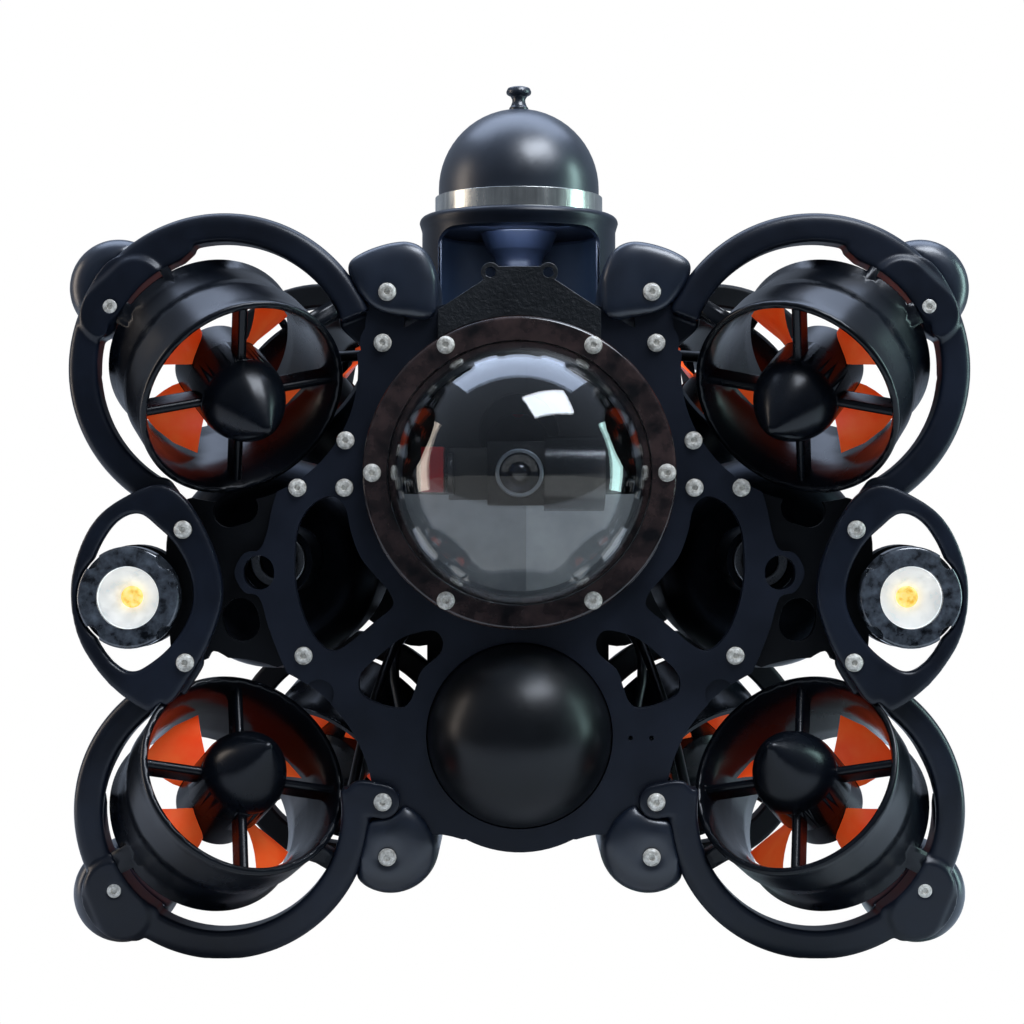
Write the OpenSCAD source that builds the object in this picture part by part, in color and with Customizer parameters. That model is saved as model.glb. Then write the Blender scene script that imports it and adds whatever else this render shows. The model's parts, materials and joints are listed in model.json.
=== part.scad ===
/* [Frame] */
// Front face of the front plate to the back face of the rear frame
frame_len = 300; // [270:5:360]
// Thickness of the front plate and of the rear frame's web
plate_t = 8; // [6:0.5:10]
// Distance of an upper guard's centre from the middle plane
guard_upper_x = 153.9; // [152.9:0.1:155]
// Height of the upper guards' centres
guard_upper_z = 307.3; // [305.3:0.1:309.3]
// Distance of a lower guard's centre from the middle plane
guard_lower_x = 155; // [153:0.2:157]
// Height of the dome and main tube axis
tube_z = 253; // [250:1:256]
// Height of the battery tube axis
battery_z = 115.7; // [113:0.1:118]

/* [Guard rings] */
// Outer radius of the front upper guard rings
guard_upper_r = 81.5; // [80.5:0.1:83]
// Outer radius of the front lower and the rear guard rings
guard_lower_r = 77.7; // [77.2:0.1:79]
// Radial width of a guard ring's band
guard_w = 15.5; // [14.5:0.1:16]
// How far a guard ring stands in front of the plate
guard_lip = 6; // [4:0.5:8]
// How deep a guard ring reaches behind the front face of the plate
guard_back = 12; // [10:0.5:18]
// Height of the flat worn on the sole of each lower ring
sole_flat = 0.8; // [0.4:0.1:1.2]

/* [Thrusters] */
// Largest outer radius of a thruster duct
duct_r = 56.4; // [54:0.1:57]
// Half of the length of a duct along its own axis
duct_half = 29; // [26:0.5:31]
// Radius of the throat the blades turn in
throat_r = 47.6; // [45:0.1:49]
// Radius of the motor pod
pod_r = 22.5; // [20:0.5:25]
// Length of the pointed nose in front of the pod
nose_len = 36; // [30:1:42]
// Gap between a blade tip and the throat
tip_gap = 1; // [0.6:0.1:2]
// Angle between a thruster's axis and the fore and aft line
thrust_toe = 45; // [43:1:47]
// Number of blades on a propeller
blade_count = 4; // [3:1:5]
// Radius of a motor shaft
shaft_r = 3; // [2:0.1:4]

/* [Main tube] */
// Outer radius of the main tube
tube_r = 72.5; // [70:0.5:73]
// Wall of the main and battery tubes
tube_wall = 4; // [3:0.5:6]
// How much smaller the clear dome is than the main tube, in radius
dome_step = 4; // [3:0.5:6]
// Wall of the clear dome
dome_wall = 3; // [2:0.5:4]
// How far the dome's clamp ring stands out past the main tube
flange_rim = 9; // [8.5:0.5:11.5]
// Thickness of the dome's clamp ring
flange_t = 10; // [8:0.5:12]
// How far the clamp ring's screws stand outside the main tube
flange_screw_out = 3.9; // [3.5:0.1:4.5]

/* [Battery tube] */
// Outer radius of the battery tube
battery_r = 51; // [48:0.5:52]
// Radius of the battery tube's front dome
battery_dome_r = 48.5; // [44:0.5:49]

/* [Side canisters] */
// Distance of a canister's axis from the middle plane
canister_x = 139; // [137:0.5:142]
// Height of a canister's axis
canister_z = 204; // [202:0.5:207]
// Outer radius of a canister
canister_r = 60; // [50:0.5:61]
// Length of a canister's wide body
canister_len = 146; // [120:1:150]

/* [Lights] */
// Distance of a lamp's axis from the middle plane
lamp_x = 202; // [200:0.5:204]
// Height of the lamps' axes
lamp_z = 188.5; // [186:0.5:191]
// Outer radius of a lamp's front bezel
bezel_r = 26.5; // [25:0.5:28]
// Outer radius of a lamp's barrel
barrel_r = 22; // [19:0.5:24]
// Length of a lamp from its front to the back of its barrel
lamp_len = 82; // [70:1:88]

/* [Sonar mast] */
// Distance of the mast's axis behind the front plate
mast_d = 112; // [108:1:125]
// Height of the mast platform's top face
mast_top = 402; // [398:1:408]
// Outer radius of the mast platform
mast_r = 57; // [54:0.5:60]
// Outer radius of the steel clamp band
band_r = 48; // [46:0.5:50]
// Height of the steel clamp band
band_h = 11; // [9:0.5:13]
// Outer radius of the sonar boot
boot_r = 46; // [42:0.5:47]

/* [Fastenings] */
// Radius of a screw's shank
screw_r = 2.5; // [2:0.1:2.5]
// Radius of a screw's button head
screw_head_r = 4.7; // [4.4:0.1:5.2]
// Clearance round a screw's shank
screw_gap = 0.25; // [0.15:0.05:0.3]
// Distance between the two holes in the accessory tab
tab_holes = 30; // [28:0.5:32]
// Radius of the accessory tab's holes
tab_hole_r = 2.8; // [2.5:0.1:3.5]

/* [Hidden] */
$fn = 64;

// Colours
satin_black = "#1b222c";
matt_black = "#15181d";
gloss_black = "#0c0d10";
orange = "#ff6a1a";
steel = "#b9bcc0";
clear = "#cfe0ea";
white = "#e8e8e4";
amber = "#f2c230";
board_green = "#1f5b3a";
red = "#b02a22";

// Small clearances and offsets
slip = 0.3;
run = 0.05;
eps = 0.01;

// Derived places. d is a distance behind the front face of the front plate.
guard_lower_z = guard_lower_r - sole_flat;
dome_r = tube_r - dome_step;
flange_r = tube_r + flange_rim;
flange_pcd_r = tube_r + flange_screw_out;
toe_s = sin(thrust_toe);
toe_c = cos(thrust_toe);
thrust_roll = 47.5;
front_duct_d = guard_back - 2;
dome_seat_d = -4;
front_reach = dome_r - dome_seat_d;
rear_reach = (duct_half - 1) * toe_c + duct_r * toe_s - front_duct_d;
y_front = (front_reach - rear_reach - frame_len) / 2;

// Thruster centres: [x, z] of the front pairs and of the rear pairs
front_upper = [guard_upper_x + 2.3, guard_upper_z - 1.8];
front_lower = [guard_lower_x + 0.8, guard_lower_z + 6];
rear_upper = [128, tube_z + 52];
rear_lower = [112, guard_lower_z];

// Guard rings: [x, z, outer radius]
upper_ring = [guard_upper_x, guard_upper_z, guard_upper_r];
lower_ring = [guard_lower_x, guard_lower_z, guard_lower_r];
rear_rings = [[rear_upper[0], rear_upper[1], guard_lower_r], [rear_lower[0], rear_lower[1], guard_lower_r]];

// ---- helpers -------------------------------------------------------------

// A point on the closed smooth curve through pts, t from 0 to len(pts)
function curve_pt(pts, t) =
    let (n = len(pts), i = floor(t), u = t - i,
         a = pts[(i + n - 1) % n], b = pts[i % n], c = pts[(i + 1) % n], e = pts[(i + 2) % n])
    0.5 * (2 * b + (c - a) * u + (2 * a - 5 * b + 4 * c - e) * u * u
           + (3 * b - a - 3 * c + e) * u * u * u);
function smooth(pts, steps = 4) =
    [for (k = [0 : len(pts) * steps - 1]) curve_pt(pts, k / steps)];

// Rounded corner points about c from angle a0 to a1
function arc(c, r, a0, a1, n = 5) =
    [for (i = [0 : n]) c + r * [cos(a0 + (a1 - a0) * i / n), sin(a0 + (a1 - a0) * i / n)]];

// A flat outline (x, z) made solid from d to d + t
module slab(d, t) {
    translate([0, y_front + d + t, 0])
        rotate([90, 0, 0])
            linear_extrude(height = t)
                children();
}

// A profile (radius, d) turned about the fore and aft line through (x, z)
module turn(x, z) {
    translate([x, y_front, z])
        rotate([-90, 0, 0])
            rotate_extrude($fn = 96)
                children();
}

// A rod along the fore and aft line from d to d + len
module rod(x, z, d, len, r) {
    translate([x, y_front + d, z])
        rotate([-90, 0, 0])
            cylinder(r = r, h = len);
}

// A bar with round ends between two points
module bar(a, b, r) {
    t = atan2(b[1] - a[1], b[0] - a[0]);
    polygon(concat(arc(b, r, t - 90, t + 90, 14), arc(a, r, t + 90, t + 270, 14)));
}

module both_sides() {
    children();
    mirror([1, 0, 0])
        children();
}

// ---- frame ---------------------------------------------------------------

// Right half of the front plate's outline, from the top down to the bottom
plate_half = smooth([
    [30, 338], [58, 330], [80, 320], [98, 300], [112, 276], [124, 250], [129, 236], [132, 222],
    [136, 213], [144, 211], [149, 201], [144, 191], [136, 188], [131, 172], [124, 154], [116, 138],
    [106, 120], [92, 102], [84, 84], [74, 70], [56, 66], [40, 64], [20, 66], [8, 120], [8, 260]], 4);
side_window = smooth([
    [98, 241], [108, 237], [115, 227], [117.5, 214], [117.5, 197], [114, 181], [108, 168],
    [100, 160.5], [92, 162], [76, 175], [66.5, 183], [67.5, 190], [75, 199], [83, 209], [88, 222],
    [91, 235]], 4);
low_window = smooth([
    [40, 165], [44, 170.5], [52, 170], [63, 166], [74, 157], [83, 148], [83, 138], [73, 132],
    [62, 130], [57, 134], [54, 142], [51, 150], [42, 158]], 4);
upper_lug = [71.5, 321.1];
upper_tip = [68.8, 347.1];
lower_lug = [71.1, 81.9];
lower_tip = [68.7, 53.3];
plate_screws = [[90.9, 270.1], [91.5, 245.4], [116, 245.4], [112.8, 157.6]];
corner_upper = [212.6, 339.4];
corner_lower = [210.4, 36.1];
lamp_screws = [[173.6, 223.6], [172.4, 155]];
ear_hole = [136.3, 201];
// Radii of the plate's openings beside the thrusters, about the guard rings' centres
upper_gap_r = 69.5;
lower_gap_r = 79;

// What is open beside the front thrusters, in the plate and in the webs
module guard_openings_2d() {
    both_sides() {
        translate([guard_upper_x, guard_upper_z])
            circle(r = upper_gap_r);
        translate([guard_lower_x, guard_lower_z])
            circle(r = lower_gap_r);
    }
}

// The room a thruster's duct needs, on the right side
module duct_room(sy, sz) {
    corner(1, sy, sz)
        along_thruster()
            translate([0, 0, -duct_half - 1])
                cylinder(r = duct_r + 2 * slip, h = 2 * duct_half + 2);
}

// The plate before its holes: rounds about both tubes, two flanks and four lugs
module plate_blank() {
    difference() {
        union() {
            rod(0, tube_z, 0, plate_t, flange_r + 8);
            rod(0, battery_z, 0, plate_t, battery_r + 10);
            both_sides() {
                slab(0, plate_t)
                    polygon(plate_half);
                for (lug = [[upper_lug, upper_tip, 10], [upper_lug, [60, 300], 12],
                            [lower_lug, lower_tip, 10], [lower_lug, [56, 96], 12]])
                    slab(0, plate_t)
                        bar(lug[0], lug[1], lug[2]);
            }
        }
        slab(-1, plate_t + 2)
            guard_openings_2d();
    }
}

module plate_holes_2d() {
    translate([0, tube_z])
        circle(r = tube_r + slip);
    translate([0, battery_z])
        circle(r = battery_dome_r + slip);
    for (a = [0 : 60 : 300])
        translate([0, tube_z] + flange_pcd_r * [cos(a), sin(a)])
            circle(r = screw_r + screw_gap);
    both_sides() {
        polygon(side_window);
        polygon(low_window);
        bar(ear_hole - [0, 1], ear_hole + [0, 1], 8);
        for (p = concat([upper_lug, upper_tip, lower_lug, lower_tip], plate_screws))
            translate(p)
                circle(r = screw_r + screw_gap);
    }
    for (x = [58, 69])
        translate([x, 114.5])
            circle(r = 1.3);
}

module front_plate() {
    color(matt_black)
        difference() {
            plate_blank();
            slab(-1, plate_t + 2)
                plate_holes_2d();
            // shallow round pockets beside the low windows
            both_sides()
                rod(104.8, 137.5, -eps, 3, 7.8);
        }
}

// Band profile of a guard ring of outer radius r: radius outwards, d backwards
function band_profile(r) = concat(
    [[r - guard_w, 1.5 - guard_lip], [r - guard_w + 1.5, -guard_lip]],
    arc([r - 5, 5 - guard_lip], 5, -90, 0, 6),
    arc([r - 3, guard_back - 3], 3, 0, 90, 4),
    [[r - guard_w + 1.5, guard_back], [r - guard_w, guard_back - 1.5]]);

module guard_band(g) {
    turn(g[0], g[1])
        polygon(band_profile(g[2]));
}

// A guard is an arc of that band, open from angle gap[0] to gap[1] where the plate is
upper_gap = [158, 300];
lower_gap = [68, 170];
module guard_arc(g, gap) {
    difference() {
        guard_band(g);
        slab(-40, 100)
            polygon(concat([[g[0], g[1]]], arc([g[0], g[1]], 2 * g[2], gap[0], gap[1], 8)));
    }
}

// Outlines of the pads that widen the arcs round the corner screws
upper_pad = smooth([
    [170, 371], [188, 372], [203.6, 366.3], [210.3, 365.3], [216.1, 361.1], [221.8, 353.3], [226.5, 344],
    [229.1, 335.1], [228.5, 328.4], [225.9, 323.7], [221.8, 321.6], [216.6, 323.2], [211.9, 326.8],
    [206, 332], [195, 340], [186, 352], [178, 362]], 3);
lower_pad = smooth([
    [211.4, 54.3], [218.1, 52.8], [223.3, 47.6], [227, 40.3], [228, 33], [225.9, 24.7],
    [220.2, 16.4], [212.9, 11.2], [203.6, 9.6], [196.8, 10.1], [188, 18], [190, 33], [200, 47]], 3);
// How near a pad comes to the centre of its ring
pad_in_r = 60.5;
lug_r = 8;

module corner_pad(outline, ring) {
    difference() {
        slab(-guard_lip, guard_lip + guard_back)
            polygon(outline);
        rod(ring[0], ring[1], -40, 100, pad_in_r);
    }
}

module screw_holes(points, d, len) {
    for (p = points)
        rod(p[0], p[1], d, len, screw_r + screw_gap);
}

float_outline = smooth([
    [90.2, 362.2], [85.5, 365.8], [76.7, 370.2], [63.7, 373.6], [56.9, 373.6], [51.7, 371.5],
    [48.1, 367.6], [45, 361.1], [42.9, 353.3], [42.9, 342.9], [44, 332.5], [53.3, 333.1],
    [63.7, 334.6], [72.5, 336.7], [78.8, 340.3], [85.5, 349.2], [88.1, 355.9]], 2);
float_len = 66;
skid_r = 25;
skid_at = [67.5, 58];

// The upper guard's lug lies behind the plate, the lower one's in front of it
module upper_guard_lug() {
    slab(plate_t, guard_back - plate_t)
        bar(upper_lug, [86, 334], 9);
}

module lower_guard_lug() {
    slab(-guard_lip, guard_lip)
        bar(lower_lug, [82, 84], 9);
}

module guard_upper() {
    color(satin_black)
        difference() {
            union() {
                guard_arc(upper_ring, upper_gap);
                corner_pad(upper_pad, upper_ring);
                upper_guard_lug();
                slab(-guard_lip, guard_lip)
                    bar([187, 243], lamp_screws[0], lug_r);
            }
            plate_blank();
            slab(-40, 60)
                polygon(float_outline);
            duct_room(-1, 1);
            screw_holes([upper_lug, corner_upper, lamp_screws[0]], -20, 60);
        }
}

module guard_lower() {
    color(satin_black)
        difference() {
            union() {
                guard_arc(lower_ring, lower_gap);
                corner_pad(lower_pad, lower_ring);
                lower_guard_lug();
                slab(-guard_lip, guard_lip)
                    bar([181, 141], lamp_screws[1], lug_r);
            }
            plate_blank();
            duct_room(-1, -1);
            screw_holes([lower_lug, corner_lower, lamp_screws[1]], -20, 60);
            // the flat sole
            translate([0, y_front - 30, -50])
                cube([300, 80, 50]);
        }
}

// A corner bumper: a soft bulb behind the pad; c is its centre, s its screw
module bumper(c, s, outline, ring, sz) {
    color(satin_black)
        difference() {
            turn(c[0], c[1])
                polygon(concat([[0, 3]], arc([14, 15], 12, -90, 0, 6), arc([12, 50], 14, 0, 90, 6),
                               [[0, 64]]));
            guard_band(ring);
            corner_pad(outline, ring);
            rod(ring[0], ring[1], -40, 140, pad_in_r);
            duct_room(-1, sz);
            screw_holes([s], -20, 60);
        }
}

module corner_bumpers() {
    both_sides() {
        bumper([212, 351], corner_upper, upper_pad, upper_ring, 1);
        bumper([210, 31], corner_lower, lower_pad, lower_ring, -1);
    }
}

// A skid with a front flap clamped over a lug of the plate
module pod(c, r, s, len) {
    difference() {
        turn(c[0], c[1])
            polygon(concat([[0, -guard_lip]], arc([r - 9, 9 - guard_lip], 9, -90, 0, 6),
                           arc([r - 12, len - 12], 12, 0, 90, 6), [[0, len]]));
        plate_blank();
        screw_holes([s], -20, 40);
    }
}

module upper_floats() {
    color(satin_black)
        both_sides()
            difference() {
                slab(-guard_lip, float_len + guard_lip)
                    polygon(float_outline);
                plate_blank();
                screw_holes([upper_tip], -20, 40);
                upper_guard_lug();
                rod(0, tube_z, 0, 100, tube_r + 6);
            }
}

module lower_skids() {
    color(satin_black)
        both_sides()
            difference() {
                pod(skid_at, skid_r, lower_tip, 92);
                guard_arc(lower_ring, lower_gap);
                lower_guard_lug();
                duct_room(-1, -1);
            }
}

light_guard_t = 9;
light_guard_outer = smooth([
    [187, 247], [205, 240], [219, 229], [228, 212], [232, 192], [229, 171], [221, 155], [208, 140],
    [190, 129], [180, 134], [172, 145], [164, 158], [157, 174], [153.5, 190], [156, 207],
    [164, 226], [174, 241]], 4);
light_guard_inner = smooth([
    [187, 225], [197, 232], [209, 227], [219, 211], [223.5, 192], [220.5, 172], [212, 157],
    [201, 150], [190, 155], [179, 165], [171, 178], [168.5, 190], [171, 203], [178, 216]], 4);

module light_guards() {
    color(satin_black)
        both_sides()
            difference() {
                slab(-guard_lip - light_guard_t, light_guard_t)
                    polygon(light_guard_outer);
                slab(-30, 60)
                    polygon(light_guard_inner);
                // the lamp's bezel sits in a round seat
                rod(lamp_x, lamp_z, -30, 60, bezel_r + slip);
                duct_room(-1, 1);
                duct_room(-1, -1);
                screw_holes(lamp_screws, -30, 60);
            }
}

// Webs that carry the lamps and join the light guards to the plate's ears
web_outline = smooth([
    [120, 246], [140, 246], [160, 243], [178, 238], [184, 226], [186, 212], [184, 188], [184, 166],
    [181, 150], [173, 146], [166, 152], [161, 159.5], [150, 154], [139, 149], [130, 150],
    [118, 160], [124, 200]], 4);

module side_webs() {
    color(matt_black)
        both_sides()
            difference() {
                union() {
                    slab(plate_t, 6)
                        polygon(web_outline);
                    rod(lamp_x, lamp_z, plate_t, 14, barrel_r + 5);
                    for (p = lamp_screws)
                        rod(p[0], p[1], 0, plate_t + 1, lug_r);
                    // lugs that the plate's screws reach
                    for (lug = [[plate_screws[0], plate_screws[1]], [plate_screws[1], plate_screws[2]],
                                [plate_screws[2], [132, 238]], [plate_screws[3], [128, 166]]])
                        slab(plate_t, 6)
                            bar(lug[0], lug[1], lug_r);
                }
                slab(0, 30) {
                    bar([146, 235], [153, 233], 8.5);
                    bar([146, 174], [147, 178], 9.5);
                    bar(ear_hole - [0, 1], ear_hole + [0, 1], 8);
                    polygon(side_window);
                    guard_openings_2d();
                }
                rod(lamp_x, lamp_z, -10, 60, barrel_r + slip);
                guard_arc(upper_ring, upper_gap);
                guard_arc(lower_ring, lower_gap);
                duct_room(-1, 1);
                duct_room(-1, -1);
                screw_holes(concat(lamp_screws, plate_screws), -20, 60);
            }
}

// ---- rear frame ----------------------------------------------------------

rear_web_d = frame_len - plate_t;
rear_band_profile = [for (p = band_profile(guard_lower_r)) [p[0], frame_len - p[1] - guard_lip]];
spigot_r = 18.5;
cable_lane_lower = [70.5, 171];
cable_lane_inner = [60.5, 163.5];
// The round openings of the rear frame; its bands line them
lining_t = 3;

module rear_outline_2d() {
    translate([0, tube_z])
        circle(r = tube_r + 10);
    translate([0, battery_z])
        circle(r = battery_r + 10);
    translate([-60, battery_z])
        square([120, tube_z - battery_z]);
    both_sides() {
        for (g = rear_rings)
            translate([g[0], g[1]])
                circle(r = g[2] - 6);
        bar([canister_x, canister_z + 24], [canister_x - 8, canister_z - 50], 24);
        bar([66, 170], [120, 210], 26);
    }
}

module rear_frame() {
    color(satin_black)
        difference() {
            union() {
                slab(rear_web_d, plate_t)
                    difference() {
                        rear_outline_2d();
                        both_sides()
                            for (g = rear_rings)
                                translate([g[0], g[1]])
                                    circle(r = g[2] - guard_w + lining_t);
                    }
                for (c = [rear_upper, rear_lower])
                    both_sides()
                        turn(c[0], c[1])
                            polygon(rear_band_profile);
            }
            slab(rear_web_d - 20, plate_t + 40) {
                translate([0, tube_z])
                    circle(r = tube_r + slip);
                translate([0, battery_z])
                    circle(r = battery_r + slip);
                both_sides() {
                    bar(cable_lane_inner, cable_lane_lower, 7.5);
                    translate([104, 196])
                        circle(r = 11);
                }
            }
            both_sides()
                rod(canister_x, canister_z, rear_web_d - 1, 5, spigot_r + slip);
            both_sides() {
                duct_room(1, 1);
                duct_room(1, -1);
            }
            // the flat soles
            translate([-300, y_front + frame_len - 60, -50])
                cube([600, 120, 50]);
        }
}

// ---- side canisters ------------------------------------------------------

port = [128, 207];
canister_d = 78;

module side_canisters() {
    color(satin_black)
        both_sides()
            difference() {
                union() {
                    turn(canister_x, canister_z)
                        polygon(concat([[0, canister_d]],
                                       arc([canister_r - 22, canister_d + 22], 22, -90, 0, 8),
                                       arc([canister_r - 14, canister_d + canister_len - 14],
                                           14, 0, 90, 6),
                                       [[0, canister_d + canister_len]]));
                    rod(port[0], port[1], plate_t + 6, canister_d - plate_t + 6, spigot_r);
                    rod(canister_x, canister_z, canister_d + canister_len - 1,
                        rear_web_d + 4 - canister_d - canister_len + 1, spigot_r);
                }
                rod(port[0], port[1], plate_t + 5, 5, 15);
            }
}

module canister_ports() {
    color(steel)
        both_sides()
            turn(port[0], port[1])
                polygon([[9, plate_t + 10], [9, plate_t + 7], [11, plate_t + 6], [14, plate_t + 6],
                         [15, plate_t + 7], [15, plate_t + 10]]);
}

// ---- main tube -----------------------------------------------------------

rear_cap_d = frame_len;
rear_cap_t = 12;

module main_tube() {
    color(satin_black)
        turn(0, tube_z)
            polygon([[tube_r - tube_wall, 0], [tube_r, 0], [tube_r, rear_cap_d],
                     [tube_r - tube_wall, rear_cap_d]]);
}

module camera_flange() {
    color(gloss_black)
        difference() {
            turn(0, tube_z)
                polygon(concat([[dome_r + slip, dome_seat_d - 1], [dome_r + slip, -flange_t]],
                               arc([flange_r - 2, 2 - flange_t], 2, -90, 0, 4),
                               [[flange_r, 0], [dome_r + 3 + slip, 0],
                                [dome_r + 3 + slip, dome_seat_d - 1]]));
            for (a = [0 : 60 : 300])
                translate([0, 0, tube_z])
                    rotate([0, a, 0])
                        translate([flange_pcd_r, y_front - flange_t - 1, 0])
                            rotate([-90, 0, 0])
                                cylinder(r = screw_r + screw_gap, h = flange_t + 2);
        }
}

module camera_dome() {
    rim = dome_r + 3;
    color(clear, 0.35)
        turn(0, tube_z)
            polygon(concat([[rim, 0], [rim, dome_seat_d - 1 + eps], [dome_r, dome_seat_d - 1 + eps]],
                           arc([0, dome_seat_d], dome_r, -1, -90, 20),
                           arc([0, dome_seat_d], dome_r - dome_wall, -90, 0, 20),
                           [[dome_r - dome_wall, 0]]));
}

tab_hole_z = 357.5;

module accessory_tab() {
    color(matt_black)
        difference() {
            union() {
                slab(-guard_lip, guard_lip)
                    polygon([[-42.4, 338], [-18, 354], [18, 354], [42.4, 338], [42.4, 318], [-42.4, 318]]);
                for (s = [-1, 1])
                    rod(s * tab_holes / 2, tab_hole_z, -guard_lip, guard_lip, tab_hole_r + 2.2);
                slab(-guard_lip, guard_lip)
                    translate([-tab_holes / 2, 350])
                        square([tab_holes, 10.5]);
            }
            rod(0, tube_z, -20, 40, flange_r + slip);
            for (s = [-1, 1])
                rod(s * tab_holes / 2, tab_hole_z, -20, 40, tab_hole_r);
        }
}

module rear_cap() {
    color(satin_black)
        difference() {
            turn(0, tube_z)
                polygon(concat([[0, rear_cap_d - 14], [tube_r - tube_wall - run, rear_cap_d - 14],
                                [tube_r - tube_wall - run, rear_cap_d], [tube_r, rear_cap_d]],
                               arc([tube_r - 2, rear_cap_d + rear_cap_t - 2], 2, 0, 90, 4),
                               [[0, rear_cap_d + rear_cap_t]]));
            for (p = cap_ports)
                rod(p[0], p[1], rear_cap_d - 20, 60, gland_stem_r);
        }
}

gland_r = 8;
gland_stem_r = 5;
gland_h = 9;
// Cable ports of the rear cap: thrusters front upper, front lower, rear upper, rear lower,
// then the lamps, on the right side; the left side mirrors them
cap_ports_half = [[30, 300], [50, 222], [56, 268], [26, 202], [26, 268]];
cap_ports_mid = [[0, 302], [0, 204], [0, 253]];
cap_ports = concat(cap_ports_half, [for (p = cap_ports_half) [-p[0], p[1]]], cap_ports_mid);

module penetrators() {
    color(red)
        for (p = concat(cap_ports_half, [for (q = cap_ports_half) [-q[0], q[1]]],
                        [cap_ports_mid[0], cap_ports_mid[1]])) {
            rod(p[0], p[1], rear_cap_d - 13, rear_cap_t + 13, gland_stem_r);
            turn(p[0], p[1])
                polygon([[0, rear_cap_d + rear_cap_t], [gland_r, rear_cap_d + rear_cap_t],
                         [gland_r, rear_cap_d + rear_cap_t + gland_h - 3],
                         [gland_r - 2.5, rear_cap_d + rear_cap_t + gland_h],
                         [0, rear_cap_d + rear_cap_t + gland_h]]);
        }
}

module tether_inlet() {
    p = cap_ports_mid[2];
    d0 = rear_cap_d + rear_cap_t;
    color(steel)
        difference() {
            union() {
                rod(p[0], p[1], rear_cap_d - 13, rear_cap_t + 13, gland_stem_r);
                turn(p[0], p[1])
                    polygon([[0, d0], [12, d0], [12, d0 + 5], [9, d0 + 5], [9, d0 + 18],
                             [7.5, d0 + 20], [0, d0 + 20]]);
            }
            rod(p[0], p[1], d0 + 8, 20, 6);
        }
}

// ---- inside the main tube ------------------------------------------------

inner_r = tube_r - tube_wall;
tilt_d = 14;
servo_x = -38;
lens_r = 12.5;

module electronics_tray() {
    color(board_green)
        difference() {
            union() {
                translate([-inner_r + 6, y_front + 60, tube_z - 20])
                    cube([2 * inner_r - 12, rear_cap_d - 90, 3]);
                rod(0, tube_z, 56, 4, inner_r);
                rod(0, tube_z, rear_cap_d - 34, 4, inner_r);
                for (x = [-34, 6])
                    translate([x, y_front + 70, tube_z - 17])
                        cube([28, 110, 12]);
            }
            rod(0, tube_z + 24, 50, 240, 22);
        }
}

module tilt_servo() {
    color(red)
        difference() {
            union() {
                translate([servo_x - 14, y_front + tilt_d - 10, tube_z - 10])
                    cube([12, 23, 24]);
                translate([servo_x - 12, y_front + tilt_d + 13, tube_z - 4])
                    cube([8, 56 - tilt_d - 13, 8]);
            }
            translate([servo_x - 6, y_front + tilt_d, tube_z])
                rotate([0, 90, 0])
                    cylinder(r = shaft_r + run, h = 10);
        }
}

// The cradle turns on the servo's shaft and carries the camera
module camera_cradle() {
    color(matt_black) {
        translate([servo_x - 5, y_front + tilt_d, tube_z])
            rotate([0, 90, 0])
                cylinder(r = shaft_r, h = 6);
        difference() {
            union() {
                translate([servo_x, y_front + tilt_d, tube_z])
                    rotate([0, 90, 0])
                        cylinder(r = 11, h = 3);
                translate([servo_x, y_front + tilt_d + 8, tube_z - 14])
                    cube([50, 3, 28]);
                translate([servo_x, y_front + tilt_d - 2, tube_z - 9])
                    cube([3, 12, 18]);
            }
            rod(0, tube_z, tilt_d, 20, 6);
        }
    }
}

module camera_body() {
    color(gloss_black)
        union() {
            translate([-17, y_front + tilt_d - 4, tube_z - 17])
                cube([34, 12, 34]);
            rod(0, tube_z, tilt_d - 18, 15, 15);
            // the focus motor's barrel beside the lens
            translate([13, y_front + tilt_d, tube_z])
                rotate([0, 90, 0])
                    cylinder(r = 20, h = 32);
        }
}

module camera_lens() {
    color(steel)
        turn(0, tube_z)
            polygon(concat([[0, tilt_d - 18], [lens_r, tilt_d - 18], [lens_r, tilt_d - 26],
                            [lens_r - 2, tilt_d - 26], [lens_r - 3, tilt_d - 23]],
                           [[6, tilt_d - 21.5], [0, tilt_d - 21]]));
}

// ---- battery tube --------------------------------------------------------

battery_front_d = plate_t + 6;

module battery_tube() {
    color(satin_black)
        turn(0, battery_z)
            polygon([[battery_r - tube_wall, battery_front_d], [battery_r, battery_front_d],
                     [battery_r, frame_len], [battery_r - tube_wall, frame_len]]);
}

module battery_dome() {
    color(satin_black)
        turn(0, battery_z)
            polygon(concat([[0, battery_front_d], [battery_r + 4, battery_front_d], [battery_r + 4, plate_t],
                            [battery_dome_r, plate_t]],
                           arc([0, plate_t - 2], battery_dome_r, 0, -90, 16)));
}

module battery_cap() {
    color(satin_black)
        difference() {
            turn(0, battery_z)
                polygon(concat([[0, frame_len - 10], [battery_r - tube_wall - run, frame_len - 10],
                                [battery_r - tube_wall - run, frame_len], [battery_r, frame_len]],
                               arc([battery_r - 2, frame_len + 6], 2, 0, 90, 4),
                               [[0, frame_len + 8]]));
            // finger slots for twisting the cap out
            for (a = [0 : 60 : 300])
                translate([0, y_front + frame_len + 4, battery_z])
                    rotate([0, a, 0])
                        translate([battery_r, 0, 0])
                            rotate([-90, 0, 0])
                                cylinder(r = 7, h = 10);
        }
}

module battery_pack() {
    pack_r = battery_r - tube_wall;
    color("#2b4f8c")
        union() {
            rod(0, battery_z, 30, 3, pack_r);
            rod(0, battery_z, frame_len - 40, 3, pack_r);
            for (k = [0 : 6])
                rod(k == 0 ? 0 : 28 * cos(60 * k), k == 0 ? battery_z : battery_z + 28 * sin(60 * k),
                    30, frame_len - 70, 13);
        }
}

// ---- sonar mast ----------------------------------------------------------

leg_wall = 8.5;
turret_r = 4;
platform_t = 9;
mast_base_z = tube_z + tube_r + 10;

module upright(z) {
    translate([0, y_front + mast_d, z])
        children();
}

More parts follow.
